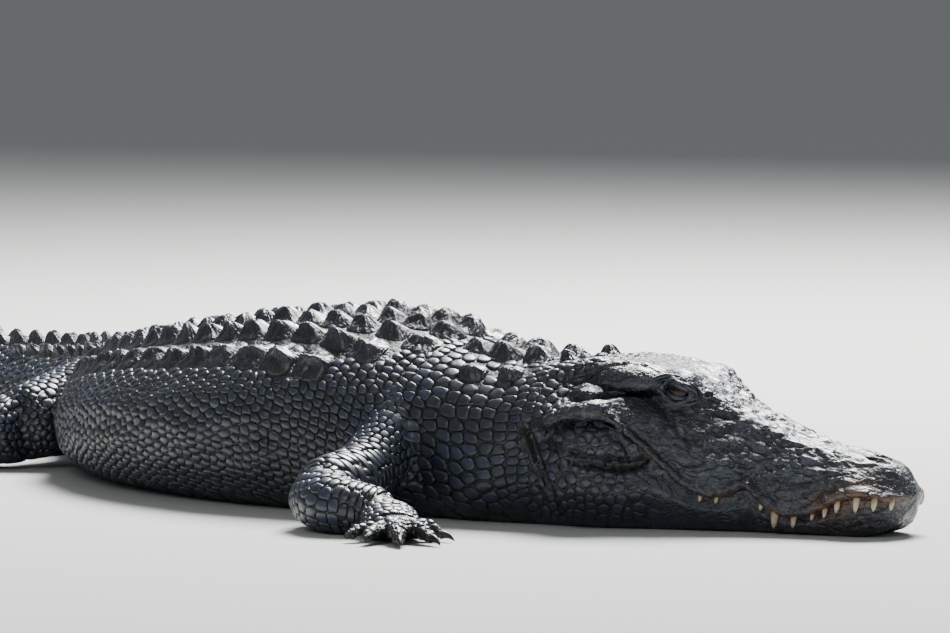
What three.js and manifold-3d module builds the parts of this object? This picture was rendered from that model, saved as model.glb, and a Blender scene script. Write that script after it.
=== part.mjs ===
// An adult American alligator at rest on its belly, life size, in millimetres, +Z up.
// The trunk lies along X with the head towards +X, and the origin is on the ground under mid-trunk.
// Stations run along the spine from 0 at the snout tip to LENGTH at the tail tip.
import * as THREE from "three";
import { mergeVertices } from "three/addons/utils/BufferGeometryUtils.js";
import Module from "manifold-3d";

const wasm = await Module();
wasm.setup();

// Driving dimensions.
const LENGTH = 3400; // snout tip to tail tip
const HEAD_END = 484; // back of the skull
const NECK_END = 640;
const TRUNK_END = 1600; // just behind the hips
const TAIL_JOINTS = [2100, 2520, 2960]; // where the tail is divided into its lengths
const ORIGIN_STATION = 1130;
const GAP = 0.45; // clearance between neighbouring pieces
const ROOM = GAP * 1.8; // how far a piece's copy is grown before it cuts its neighbours
const SMALLEST = 0.12; // smallest detail kept on a surface
const GROUND_SINK = 0.12; // share of a section's height pressed flat by the ground

// A smooth curve through [station, value] knots, level beyond both ends.
function profile(knots) {
  const last = knots.length - 1;
  const slopes = knots.map((_, i) => {
    const a = knots[Math.max(i - 1, 0)];
    const b = knots[Math.min(i + 1, last)];
    return (b[1] - a[1]) / (b[0] - a[0]);
  });
  return (s) => {
    if (s <= knots[0][0]) return knots[0][1];
    if (s >= knots[last][0]) return knots[last][1];
    const i = knots.findIndex((k) => k[0] > s) - 1;
    const [s0, v0] = knots[i];
    const [s1, v1] = knots[i + 1];
    const w = s1 - s0;
    const u = (s - s0) / w;
    const rise = u * u * (3 - 2 * u);
    return v0 + (v1 - v0) * rise + w * u * (1 - u) * (slopes[i] * (1 - u) - slopes[i + 1] * u);
  };
}

// Where the animal faces along its spine, in degrees from +X towards +Y.
const heading = profile([
  [HEAD_END, 31], [720, 17], [1130, -1], [1500, -12], [1800, -8], [2250, 12], [2750, 36], [LENGTH, 70],
]);

// Body, from the neck to the tail tip.
const bodyHalf = profile([
  [470, 146], [560, 150], [640, 166], [740, 200], [880, 236], [1050, 254], [1200, 248], [1330, 218],
  [1450, 172], [1560, 142], [1700, 122], [1900, 104], [2200, 80], [2600, 54], [3000, 31], [3250, 15],
  [3400, 5],
]);
const bodyTop = profile([
  [470, 205], [540, 206], [620, 218], [740, 239], [860, 245], [1050, 225], [1250, 199], [1450, 176],
  [1600, 160], [1750, 149], [1950, 135], [2250, 115], [2600, 92], [3000, 58], [3250, 32], [3400, 12],
]);
// Height of the widest level, as a share of the top.
const bodyWaist = profile([[470, 0.36], [800, 0.4], [1500, 0.4], [2000, 0.42], [3400, 0.45]]);
// Roundness of the upper side.
const bodyArch = profile([[470, 2.3], [700, 2.1], [1500, 2.1], [1900, 1.7], [3400, 1.6]]);
const BELLY_ARCH = 2.4;

// Head.
const headTop = profile([
  [0, 58], [10, 74], [25, 88], [60, 98], [100, 105], [134, 112], [164, 120], [194, 133], [218, 144],
  [239, 154], [258, 166], [290, 186], [330, 200], [400, 207], [470, 205],
]);
const tableHalf = profile([
  [0, 5], [20, 17], [60, 30], [110, 34], [210, 36], [260, 43], [300, 53], [400, 72], [470, 78],
]);
const recessHalf = profile([
  [0, 9], [20, 28], [60, 47], [110, 52], [210, 60], [300, 76], [400, 84], [470, 100],
]);
const recessZ = profile([
  [0, 56], [20, 73], [60, 83], [110, 86], [160, 95], [210, 112], [300, 154], [400, 173], [470, 184],
]);
const cheekHalf = profile([
  [0, 14], [20, 42], [60, 63], [110, 66], [210, 80], [300, 104], [400, 129], [470, 132],
]);
const cheekZ = profile([
  [0, 52], [20, 60], [60, 68], [110, 62], [160, 66], [210, 82], [300, 119], [400, 158], [470, 150],
]);
const lipHalf = profile([
  [0, 18], [8, 37], [22, 54], [45, 66], [75, 71], [112, 69], [150, 79], [210, 87], [300, 112], [400, 142],
  [470, 147],
]);
const mouthZ = profile([
  [0, 44], [20, 45], [45, 48], [67, 46], [96, 33], [121, 24], [145, 22], [165, 29], [182, 41], [197, 54],
  [208, 54], [222, 47], [240, 43], [257, 46], [278, 57], [300, 76], [330, 104], [378, 138], [420, 138],
  [455, 126], [470, 120],
]);
const jawHalf = profile([
  [0, 8], [10, 26], [30, 48], [60, 60], [140, 70], [210, 80], [300, 108], [400, 150], [470, 146],
]);
const jawBottom = profile([[0, 34], [10, 24], [30, 9], [60, 0]]);
const LIP_STEP = 9; // how far the lower jaw's edge is set in under the lip
const LIP_DROP = 8;

// Egg-shaped forms on each side of the head: where they sit, half sizes, lean and smoothness.
const EYE_RADIUS = 19;
const SOCKET_RADIUS = EYE_RADIUS + GAP;
const EYE = { station: 305, side: 60, z: 174, half: [EYE_RADIUS, EYE_RADIUS, EYE_RADIUS], detail: 14 };
const SOCKET = { ...EYE, half: [SOCKET_RADIUS, SOCKET_RADIUS, SOCKET_RADIUS] };
const BROW = { station: 317, side: 51, z: 174, half: [29, 25, 27], lean: 0.1 };
const EYELIDS = { station: 305, side: 59, z: 174, half: [25, 23.5, 23.5] };
const EYE_OPENING = { station: 305, side: 84, z: 173, half: [17, 22, 9.5], lean: 0.25 };
const NOSTRIL_PAD = { station: 44, side: 14, z: 98, half: [17, 13, 8] };
const NOSTRIL_HOLE = { station: 43, side: 15, z: 107, half: [7, 4.5, 7] };
const EAR_LID = { station: 378, side: 76, z: 180, half: [48, 12, 15], detail: 8 };
const EAR_SLIT = { station: 384, side: 90, z: 166, half: [46, 12, 3], lean: -0.06, detail: 8 };

const sideSign = (v, power) => Math.sign(v) * Math.abs(v) ** power;

// Spine: ground position of every station, worked out by small steps from the origin.
const STEP = 5;
const spine = [];
function walk(from, to) {
  const path = new Map();
  let x = 0;
  let y = 0;
  const way = Math.sign(to - from);
  for (let s = from; way * s <= way * to; s += way * STEP) {
    path.set(s, [x, y]);
    const a = THREE.MathUtils.degToRad(heading(s + (way * STEP) / 2));
    x -= way * STEP * Math.cos(a);
    y -= way * STEP * Math.sin(a);
  }
  return path;
}
const walked = new Map([...walk(ORIGIN_STATION, -100), ...walk(ORIGIN_STATION, LENGTH + 100)]);
for (let s = -100; s <= LENGTH + 100; s += STEP) spine.push(walked.get(s));

// A point given by station, distance to the animal's right and height.
function place(s, right, z) {
  const at = (s + 100) / STEP;
  const i = Math.min(Math.max(Math.floor(at), 0), spine.length - 2);
  const u = at - i;
  const x = spine[i][0] * (1 - u) + spine[i + 1][0] * u;
  const y = spine[i][1] * (1 - u) + spine[i + 1][1] * u;
  const a = THREE.MathUtils.degToRad(heading(s));
  return new THREE.Vector3(x + right * Math.sin(a), y - right * Math.cos(a), z);
}

// Outline of the body: turn runs from 0 on the back to 1 under the belly, negative on the left.
function bodyOutline(s, turn, grow = 0) {
  const angle = turn * Math.PI;
  const top = bodyTop(s) + grow;
  const waist = bodyTop(s) * bodyWaist(s);
  const up = Math.cos(angle);
  const arch = up > 0 ? bodyArch(s) : BELLY_ARCH;
  const right = (bodyHalf(s) + grow) * sideSign(Math.sin(angle), 2 / arch);
  const rise = up > 0 ? top - waist : waist + grow + GROUND_SINK * top;
  return place(s, right, Math.max(waist + rise * sideSign(up, 2 / arch), 0));
}

const TURNS = [0, 0.14, 0.24, 0.36, 0.44, 0.48, 0.62, 0.8, 1];
function headPoint(s, turn, grow = 0) {
  const mouth = mouthZ(s);
  const base = jawBottom(s);
  const sides = [
    0, tableHalf(s), recessHalf(s), cheekHalf(s), lipHalf(s), lipHalf(s) - LIP_STEP * Math.min(1, s / 40),
    jawHalf(s), jawHalf(s) * 0.72, 0,
  ];
  const heights = [
    headTop(s), headTop(s) - 2, recessZ(s), cheekZ(s), Math.min(mouth + LIP_DROP, cheekZ(s)), mouth,
    base + (mouth - base) * 0.55, base, base,
  ];
  const t = Math.abs(turn);
  const right = profile(TURNS.map((k, i) => [k, sides[i]]))(t) + (t > 0 && t < 1 ? grow : 0);
  const z = profile(TURNS.map((k, i) => [k, heights[i]]))(t) + grow * Math.cos(t * Math.PI);
  return place(s, Math.sign(turn) * right, Math.max(z, 0));
}

// The skull's outline gives way to the neck's over this stretch.
const BLEND = [430, 560];
function skinPoint(s, turn, grow = 0) {
  if (s <= BLEND[0]) return headPoint(s, turn, grow);
  if (s >= BLEND[1]) return bodyOutline(s, turn, grow);
  const share = THREE.MathUtils.smoothstep(s, ...BLEND);
  return headPoint(s, turn, grow).lerp(bodyOutline(s, turn, grow), share);
}

// Closed surface through rings of points, with a fan at each end.
function loft(rings) {
  const sides = rings[0].length;
  const points = rings.flat();
  const middle = (ring) => ring.reduce((sum, p) => sum.add(p), new THREE.Vector3()).divideScalar(sides);
  points.push(middle(rings[0]), middle(rings.at(-1)));
  const faces = [];
  for (let r = 0; r + 1 < rings.length; r++) {
    for (let i = 0; i < sides; i++) {
      const j = (i + 1) % sides;
      const a = r * sides;
      const b = a + sides;
      faces.push(a + i, a + j, b + j, a + i, b + j, b + i);
    }
  }
  const end = (rings.length - 1) * sides;
  for (let i = 0; i < sides; i++) {
    const j = (i + 1) % sides;
    faces.push(points.length - 2, j, i, points.length - 1, end + i, end + j);
  }
  const geometry = new THREE.BufferGeometry().setFromPoints(points);
  geometry.setIndex(faces);
  return geometry;
}

// Solids for joining and cutting.
function solid(geometry) {
  const bare = new THREE.BufferGeometry().setAttribute("position", geometry.getAttribute("position"));
  if (geometry.index) bare.setIndex(geometry.index);
  const merged = mergeVertices(bare, 1e-3);
  const made = new wasm.Manifold(new wasm.Mesh({
    numProp: 3,
    vertProperties: new Float32Array(merged.attributes.position.array),
    triVerts: new Uint32Array(merged.index.array),
  }));
  if (made.volume() > 0) return made;
  const turned = merged.index.array.slice().reverse();
  return new wasm.Manifold(new wasm.Mesh({
    numProp: 3,
    vertProperties: new Float32Array(merged.attributes.position.array),
    triVerts: new Uint32Array(turned),
  }));
}
const joined = (list) => list.reduce((sum, one) => sum.add(one));
const larger = (a, b) => (b.volume() > a.volume() ? b : a);
const largest = (one) => one.decompose().reduce(larger);
const aboveGround = (one) => one.trimByPlane([0, 0, 1], 0);

function tube(pointAt, from, to, step, sides, grow = 0) {
  const count = Math.max(1, Math.round((to - from) / step));
  const rings = [];
  for (let r = 0; r <= count; r++) {
    const s = from + ((to - from) * r) / count;
    const ring = [];
    for (let i = 0; i < sides; i++) ring.push(pointAt(s, ((i + 0.5) / sides) * 2 - 1, grow));
    rings.push(ring);
  }
  return solid(loft(rings));
}

// An egg-shaped form of the head, on the animal's right or its left.
function egg({ station, side, z, half, lean = 0, detail = 10 }, hand) {
  const geometry = new THREE.SphereGeometry(1, detail, Math.round(detail * 0.6));
  geometry.scale(...half);
  geometry.rotateY(lean);
  geometry.rotateZ(THREE.MathUtils.degToRad(heading(station)));
  const at = place(station, hand * side, z);
  geometry.translate(at.x, at.y, at.z);
  return solid(geometry);
}

// Head: one loft, split along the mouth, with brows, eyelids, nostrils and ear lids.
const headRings = [
  0, 5, 13, 27, 45, 70, 96, 122, 148, 175, 202, 230, 258, 288, 320, 355, 395, 432, HEAD_END - GAP,
];
const HEAD_SIDES = 28;
function headShell(grow) {
  return solid(loft(headRings.map((s) => {
    const ring = [];
    for (let i = 0; i < HEAD_SIDES; i++) ring.push(skinPoint(s, ((i + 0.5) / HEAD_SIDES) * 2 - 1, grow));
    return ring;
  })));
}

// A wall that follows the mouth line from lip to lip: everything above or below it.
const WALL = { from: -60, to: 520, step: 20 }; // stations, past both ends of the head
const WALL_DEPTH = 500;
function besideMouth(shift, farZ) {
  const shape = new THREE.Shape();
  const stations = [];
  for (let s = WALL.from; s <= WALL.to; s += WALL.step) stations.push(s);
  stations.forEach((s, i) => {
    if (i === 0) shape.moveTo(s, mouthZ(s) + shift);
    else shape.lineTo(s, mouthZ(s) + shift);
  });
  shape.lineTo(WALL.to, farZ);
  shape.lineTo(WALL.from, farZ);
  const geometry = new THREE.ExtrudeGeometry(shape, { depth: WALL_DEPTH, bevelEnabled: false });
  geometry.rotateX(Math.PI / 2);
  geometry.translate(0, WALL_DEPTH / 2, 0);
  geometry.scale(-1, 1, 1);
  geometry.rotateZ(THREE.MathUtils.degToRad(heading(0)));
  const tip = place(0, 0, 0);
  geometry.translate(tip.x, tip.y, 0);
  return solid(geometry);
}

// Upper teeth: pegs that hang over the lower jaw from under the lip.
const TEETH = [
  { station: 14, length: 14 }, { station: 31, length: 17 }, { station: 52, length: 20 },
  { station: 77, length: 16 }, { station: 95, length: 14 }, { station: 136, length: 17 },
  { station: 160, length: 24 }, { station: 236, length: 12 }, { station: 256, length: 13 },
];
const TOOTH_INSET = 5.5; // from the lip's edge to the tooth's middle
const TOOTH_ROOT = 0.5; // share of the length that is hidden in the gum
function tooth({ station, length }, side, grow) {
  const radius = 1.6 + length * 0.19 + grow;
  const geometry = new THREE.ConeGeometry(radius, length * (1 + TOOTH_ROOT) + grow, 5);
  geometry.rotateX(Math.PI);
  geometry.rotateX(Math.PI / 2);
  const right = side * (lipHalf(station) - TOOTH_INSET);
  const at = place(station, right, mouthZ(station) - (length * TOOTH_ROOT) / 2 + 1);
  geometry.translate(at.x, at.y, at.z);
  return solid(geometry);
}
const teeth = (grow) => joined(TEETH.flatMap((t) => [tooth(t, 1, grow), tooth(t, -1, grow)]));

function makeHead() {
  const parts = [headShell(0)];
  for (const hand of [1, -1]) {
    for (const raised of [BROW, EYELIDS, NOSTRIL_PAD, EAR_LID]) parts.push(egg(raised, hand));
  }
  let whole = joined(parts);
  for (const hand of [1, -1]) {
    for (const hole of [SOCKET, EYE_OPENING, NOSTRIL_HOLE, EAR_SLIT]) {
      whole = whole.subtract(egg(hole, hand));
    }
  }
  return whole;
}

// Scutes: keeled plates, higher towards the back edge, with roots sunk in the hide.
const ROOT = 9;
function scute(at, forward, right, up, length, width, height) {
  const point = (f, r, u) => at.clone()
    .addScaledVector(forward, f * length)
    .addScaledVector(right, r * width)
    .addScaledVector(up, u);
  const foot = [[0.5, 0.26], [0, 0.5], [-0.46, 0.34]];
  const keel = [[0.42, 0.2], [-0.2, 1], [-0.5, 0.58]];
  const points = [
    ...foot.map(([f, r]) => point(f, r, -ROOT)),
    ...foot.map(([f, r]) => point(f, -r, -ROOT)),
    ...keel.map(([f, u]) => point(f, 0, u * height)),
  ];
  const faces = [
    0, 1, 7, 0, 7, 6, 1, 2, 8, 1, 8, 7,
    3, 7, 4, 3, 6, 7, 4, 8, 5, 4, 7, 8,
    0, 6, 3, 2, 5, 8,
    0, 4, 1, 0, 3, 4, 1, 5, 2, 1, 4, 5,
  ];
  const geometry = new THREE.BufferGeometry().setFromPoints(points);
  geometry.setIndex(faces);
  return solid(geometry);
}

// Local frame on the hide at an arc distance to the right of the back's midline.
const TURN_STEP = 0.004;
const TURN_REACH = 0.02; // half distances over which the hide's directions are measured
const STATION_REACH = 12;
function hideFrame(s, arc) {
  const side = Math.sign(arc) || 1;
  let turn = 0;
  let gone = 0;
  let last = skinPoint(s, 0);
  while (gone < Math.abs(arc) && turn < 0.9) {
    turn += TURN_STEP;
    const next = skinPoint(s, side * turn);
    gone += next.distanceTo(last);
    last = next;
  }
  const t = side * turn;
  const forward = skinPoint(s - STATION_REACH, t).sub(skinPoint(s + STATION_REACH, t)).normalize();
  const across = skinPoint(s, t + TURN_REACH).sub(skinPoint(s, t - TURN_REACH)).normalize();
  const up = new THREE.Vector3().crossVectors(across, forward).normalize();
  const right = new THREE.Vector3().crossVectors(forward, up).normalize();
  return { at: skinPoint(s, t), forward, right, up };
}

// Small repeatable variation between neighbouring scutes.
const SEED_FACTOR = 16807;
const SEED_RANGE = 2147483647;
let seed = 7;
function vary(amount) {
  seed = (seed * SEED_FACTOR) % SEED_RANGE;
  return 1 + amount * ((seed / SEED_RANGE) * 2 - 1);
}

const FIRST_ROW = 676; // station of the first row of scutes behind the neck
const ROW_PITCH = 58;
const DORSAL = { length: 54, height: 21, spread: 0.9 }; // spread: share of the column's width
const EDGE_SHARE = 0.86; // size of the outermost column beside the others
const COLUMN_ARC = profile([
  [620, 42], [760, 48], [1050, 54], [1300, 52], [1500, 44], [1650, 38], [1900, 33], [2140, 26],
]);
const COLUMN_COUNT = [[660, 2], [720, 3], [850, 4], [1400, 3], [1560, 2]]; // columns on each side

function columnsAt(s) {
  return COLUMN_COUNT.reduce((count, [from, n]) => (s >= from ? n : count), 0);
}

const scutes = {
  head: [], neck: [], torso: [], tail_base: [], tail_middle: [], tail_rear: [], tail_end: [],
};
const scuteRoom = [];
function ownerOf(s) {
  if (s < HEAD_END) return "head";
  if (s < NECK_END) return "neck";
  if (s < TRUNK_END) return "torso";
  if (s < TAIL_JOINTS[0]) return "tail_base";
  if (s < TAIL_JOINTS[1]) return "tail_middle";
  return s < TAIL_JOINTS[2] ? "tail_rear" : "tail_end";
}
function addScute(s, arc, length, width, height) {
  const { at, forward, right, up } = hideFrame(s, arc);
  const size = [length * vary(0.05), width * vary(0.06), height * vary(0.14)];
  scutes[ownerOf(s)].push(scute(at, forward, right, up, ...size));
  scuteRoom.push(scute(at, forward, right, up, ...size.map((one) => one + 4 * GAP)));
}

function plantTrunk() {
  for (let s = FIRST_ROW; s < TRUNK_END - 25; s += ROW_PITCH) {
    const count = columnsAt(s);
    for (let c = 0; c < count; c++) {
      const arc = COLUMN_ARC(s) * (c + 0.5);
      const share = c === count - 1 ? EDGE_SHARE : 1;
      const size = [DORSAL.length * share, COLUMN_ARC(s) * DORSAL.spread, DORSAL.height * share + c];
      for (const side of [1, -1]) addScute(s, side * arc, ...size);
    }
  }
}

// The neck shield: two pairs of large plates, a smaller pair behind and small ones in front.
const NECK_SHIELD = [
  { station: 464, arc: 20, size: 17, height: 8 },
  { station: 468, arc: 52, size: 26, height: 18 },
  { station: 518, arc: 40, size: 42, height: 24 },
  { station: 530, arc: 92, size: 32, height: 14 },
  { station: 570, arc: 42, size: 48, height: 21 },
  { station: 580, arc: 100, size: 36, height: 15 },
  { station: 612, arc: 36, size: 40, height: 17 },
];
function plantNeck() {
  for (const { station, arc, size, height } of NECK_SHIELD) {
    for (const side of [1, -1]) {
      const s = Math.min(station, NECK_END - size * 0.55 - 2);
      addScute(s, side * arc, size, size * 0.92, height);
    }
  }
}

// Tail: a double crest with a low row on each flank, then one tall crest to the tip.
const CREST_MERGE = 2420;
const TWIN_CREST_WIDTH = 24;
const TALL_CREST_WIDTH = 18;
const FLANK_KEEL = { columns: 1.75, width: 26, height: 17 };
const tailPitch = profile([[1700, 57], [2400, 52], [3000, 42], [3400, 30]]);
const crestHeight = profile([
  [1620, 19], [1850, 19], [2100, 23], [2300, 36], [2420, 44], [2900, 44], [3400, 22],
]);
function plantTail() {
  let s = TRUNK_END + 32;
  while (s < LENGTH - 24) {
    const pitch = tailPitch(s);
    const edge = TAIL_JOINTS.find((joint) => Math.abs(joint - s) < pitch * 0.5);
    const at = edge === undefined ? s : edge + Math.sign(s - edge || 1) * pitch * 0.5;
    if (s < CREST_MERGE) {
      const spread = COLUMN_ARC(s) * 0.5;
      for (const side of [1, -1]) {
        addScute(at, side * spread, pitch * 0.9, TWIN_CREST_WIDTH, crestHeight(s));
        if (s < TAIL_JOINTS[0]) {
          const arc = side * COLUMN_ARC(s) * FLANK_KEEL.columns;
          addScute(at, arc, pitch * 0.86, FLANK_KEEL.width, FLANK_KEEL.height);
        }
      }
    } else {
      addScute(at, 0, pitch * 0.92, TALL_CREST_WIDTH, crestHeight(s));
    }
    s += pitch;
  }
}

// Limbs: tubes along bent paths, thicker through the muscle.
function limb(points, radii, sides = 10, flat = 1, grow = 0, bands = 5) {
  const curve = new THREE.CatmullRomCurve3(points, false, "centripetal");
  const radius = profile(radii);
  const rings = [];
  for (let r = 0; r <= bands; r++) {
    const u = r / bands;
    const centre = curve.getPoint(u);
    const along = curve.getTangent(u);
    if (r === 0) centre.addScaledVector(along, -grow);
    if (r === bands) centre.addScaledVector(along, grow);
    const across = new THREE.Vector3(0, 0, 1).cross(along).normalize();
    const up = new THREE.Vector3().crossVectors(along, across).normalize();
    const ring = [];
    for (let i = 0; i < sides; i++) {
      const a = (i / sides) * Math.PI * 2;
      const wide = (radius(u) + grow) * Math.cos(a);
      const high = (radius(u) * flat + grow) * Math.sin(a);
      ring.push(centre.clone().addScaledVector(across, wide).addScaledVector(up, high));
    }
    rings.push(ring);
  }
  return solid(loft(rings));
}

const FORE_RADII = {
  upper: [[0, 68], [0.3, 46], [0.52, 39], [0.8, 41], [1, 43]],
  lower: [[0, 41], [0.35, 40], [0.7, 35], [1, 30]],
  palm: [[0, 29], [0.5, 38], [1, 37]],
};
const HIND_RADII = {
  upper: [[0, 76], [0.35, 66], [0.7, 56], [1, 50]],
  lower: [[0, 50], [0.35, 49], [0.7, 39], [1, 32]],
  palm: [[0, 34], [0.5, 42], [1, 42]],
};
const FORE_TOES = [
  { turn: 58, length: 70, radius: 11, claw: 17 }, { turn: 26, length: 92, radius: 11.5, claw: 18 },
  { turn: -2, length: 100, radius: 11.5, claw: 18 }, { turn: -30, length: 88, radius: 10, claw: 0 },
  { turn: -62, length: 72, radius: 9, claw: 0 },
];
const HIND_TOES = [
  { turn: 44, length: 92, radius: 12.5, claw: 20 }, { turn: 18, length: 126, radius: 13, claw: 21 },
  { turn: -8, length: 136, radius: 13, claw: 21 }, { turn: -36, length: 116, radius: 11, claw: 0 },
];
const LEGS = {
  right_fore: {
    side: 1,
    radii: FORE_RADII,
    toes: FORE_TOES,
    upper: [[674, 90, 120], [657, 202, 66], [642, 304, 44]],
    lower: [[644, 312, 41], [602, 344, 35], [554, 334, 30]],
    palm: [[552, 330, 28], [538, 352, 23], [522, 376, 14]],
  },
  left_fore: {
    side: -1,
    radii: FORE_RADII,
    toes: FORE_TOES,
    upper: [[690, 90, 120], [716, 205, 66], [744, 300, 44]],
    lower: [[744, 304, 41], [692, 338, 35], [632, 338, 30]],
    palm: [[636, 338, 28], [608, 344, 23], [584, 352, 14]],
  },
  right_hind: {
    side: 1,
    radii: HIND_RADII,
    toes: HIND_TOES,
    upper: [[1500, 60, 90], [1466, 152, 76], [1416, 236, 62]],
    lower: [[1416, 244, 55], [1474, 298, 48], [1548, 314, 33]],
    palm: [[1548, 314, 31], [1492, 344, 25], [1446, 372, 14]],
  },
  left_hind: {
    side: -1,
    radii: HIND_RADII,
    toes: HIND_TOES,
    upper: [[1500, 60, 90], [1490, 152, 76], [1446, 244, 60]],
    lower: [[1446, 250, 55], [1510, 298, 48], [1584, 308, 33]],
    palm: [[1584, 308, 31], [1530, 338, 25], [1484, 366, 14]],
  },
};

const pathOf = (leg, part) => leg[part].map(([s, r, z]) => place(s, leg.side * r, z));
const SHANK_FLAT = 0.92; // height of a lower limb as a share of its width
const FOOT_FLAT = 0.62;
const TOE_ROOT = 14; // from the knuckles to where a toe starts
const KNUCKLE_HEIGHT = 16;
const CLAW = { height: 6.5, dip: 0.28, thickness: 0.52 }; // thickness: share of the toe's radius

function foot(leg) {
  const path = pathOf(leg, "palm");
  const parts = [limb(path, leg.radii.palm, 10, FOOT_FLAT, 0, 4)];
  const reach = path[2].clone().sub(path[0]).setZ(0).normalize();
  const knuckle = path[2].clone().addScaledVector(reach, -10);
  for (const { turn, length, radius, claw } of leg.toes) {
    // The first toe is the inner one, so a positive turn is towards the body.
    const spread = THREE.MathUtils.degToRad(leg.side * turn);
    const way = reach.clone().applyAxisAngle(new THREE.Vector3(0, 0, 1), spread);
    const root = knuckle.clone().addScaledVector(way, TOE_ROOT).setZ(KNUCKLE_HEIGHT);
    const bend = knuckle.clone().addScaledVector(way, TOE_ROOT + length * 0.5).setZ(radius + 7);
    const tip = knuckle.clone().addScaledVector(way, length).setZ(radius * 0.55);
    const thickness = [[0, radius * 1.15], [0.5, radius], [1, radius * 0.62]];
    parts.push(limb([root, bend, tip], thickness, 6, 1, 0, 3));
    if (claw) {
      const nail = new THREE.ConeGeometry(radius * CLAW.thickness, claw * 1.5, 5);
      nail.rotateZ(-Math.PI / 2);
      nail.rotateY(CLAW.dip);
      nail.rotateZ(Math.atan2(way.y, way.x));
      const at = tip.clone().addScaledVector(way, claw * 0.45).setZ(CLAW.height);
      nail.translate(at.x, at.y, at.z);
      parts.push(solid(nail));
    }
  }
  return joined(parts);
}

// Body pieces.
const BODY_SIDES = 22;
const pieces = {};
const bodyRoom = [];
function bodyPiece(name, from, to, step, sides) {
  const core = tube(skinPoint, from + GAP / 2, to - GAP / 2, step, sides);
  bodyRoom.push(tube(skinPoint, from - GAP, to + GAP, step, sides, ROOM));
  pieces[name] = largest(joined([core, ...scutes[name]]));
}

plantNeck();
plantTrunk();
plantTail();

const wholeHead = makeHead();
const OVERHEAD = 500; // a height above everything
const BELOW_TEETH = -80;
const upper = wholeHead.intersect(besideMouth(GAP, OVERHEAD));
const bite = teeth(0).intersect(besideMouth(BELOW_TEETH, OVERHEAD));
pieces.head = largest(joined([upper, bite, ...scutes.head]));
pieces.lower_jaw = largest(wholeHead.subtract(besideMouth(-GAP, OVERHEAD)).subtract(teeth(GAP)));
for (const [name, hand] of [["right_eye", 1], ["left_eye", -1]]) pieces[name] = egg(EYE, hand);

bodyPiece("neck", HEAD_END, NECK_END, 46, BODY_SIDES);
bodyPiece("torso", NECK_END, TRUNK_END, 74, BODY_SIDES);
bodyPiece("tail_base", TRUNK_END, TAIL_JOINTS[0], 72, 18);
bodyPiece("tail_middle", TAIL_JOINTS[0], TAIL_JOINTS[1], 70, 16);
bodyPiece("tail_rear", TAIL_JOINTS[1], TAIL_JOINTS[2], 63, 12);
bodyPiece("tail_end", TAIL_JOINTS[2], LENGTH, 63, 10);

// Each limb piece is cut back from the piece that it grows from.
const trunkRoom = joined([...bodyRoom, ...scuteRoom]);
const SEGMENTS = {
  upper: ["upper_arm", "thigh"],
  lower: ["forearm", "shank"],
  palm: ["forefoot", "hindfoot"],
};
for (const [name, leg] of Object.entries(LEGS)) {
  const side = name.split("_")[0];
  const rear = name.endsWith("hind") ? 1 : 0;
  const upperPath = pathOf(leg, "upper");
  const lowerPath = pathOf(leg, "lower");
  const upperLimb = limb(upperPath, leg.radii.upper, 11);
  const upperRoom = limb(upperPath, leg.radii.upper, 11, 1, ROOM);
  const lowerLimb = limb(lowerPath, leg.radii.lower, 11, SHANK_FLAT);
  const lowerRoom = limb(lowerPath, leg.radii.lower, 11, SHANK_FLAT, ROOM);
  const cut = (one, ...rooms) => {
    const rest = rooms.reduce((left, room) => left.subtract(room), one);
    return largest(aboveGround(rest));
  };
  pieces[`${side}_${SEGMENTS.upper[rear]}`] = cut(upperLimb, trunkRoom);
  pieces[`${side}_${SEGMENTS.lower[rear]}`] = cut(lowerLimb, trunkRoom, upperRoom);
  pieces[`${side}_${SEGMENTS.palm[rear]}`] = cut(foot(leg), trunkRoom, upperRoom, lowerRoom);
}

// Finishes.
const HIDE = { color: 0x23262d, roughness: 0.45, metalness: 0 };
const HORN = { color: 0x0c0806, roughness: 0.12, metalness: 0 };
const finishOf = (name) => (name.endsWith("_eye") ? HORN : HIDE);

function meshOf(name, one) {
  const { numProp, numVert, vertProperties, triVerts } = one.simplify(SMALLEST).getMesh();
  const positions = new Float32Array(numVert * 3);
  for (let i = 0; i < numVert; i++) {
    const from = i * numProp;
    positions.set(vertProperties.subarray(from, from + 3), i * 3);
  }
  const geometry = new THREE.BufferGeometry();
  geometry.setAttribute("position", new THREE.BufferAttribute(positions, 3));
  geometry.setIndex(new THREE.BufferAttribute(triVerts, 1));
  geometry.computeVertexNormals();
  const mesh = new THREE.Mesh(geometry, new THREE.MeshStandardMaterial(finishOf(name)));
  mesh.name = name;
  return mesh;
}

const alligator = new THREE.Group();
for (const [name, one] of Object.entries(pieces)) alligator.add(meshOf(name, one));

export default alligator;
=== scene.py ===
"""An adult American alligator resting on its belly, life size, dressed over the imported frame.

Shapes are worked out in millimetres in the frame's own axes and turned to metres at the end.
Stations run along the spine from 0 at the snout tip; turns run round the body from 0 on the back to 1
under the belly, negative on the animal's left.
"""
import math
from functools import partial

import bpy
import numpy as np
from bpy.props import FloatProperty, PointerProperty, StringProperty
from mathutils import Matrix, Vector
from mathutils.bvhtree import BVHTree
from mathutils.kdtree import KDTree


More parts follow.
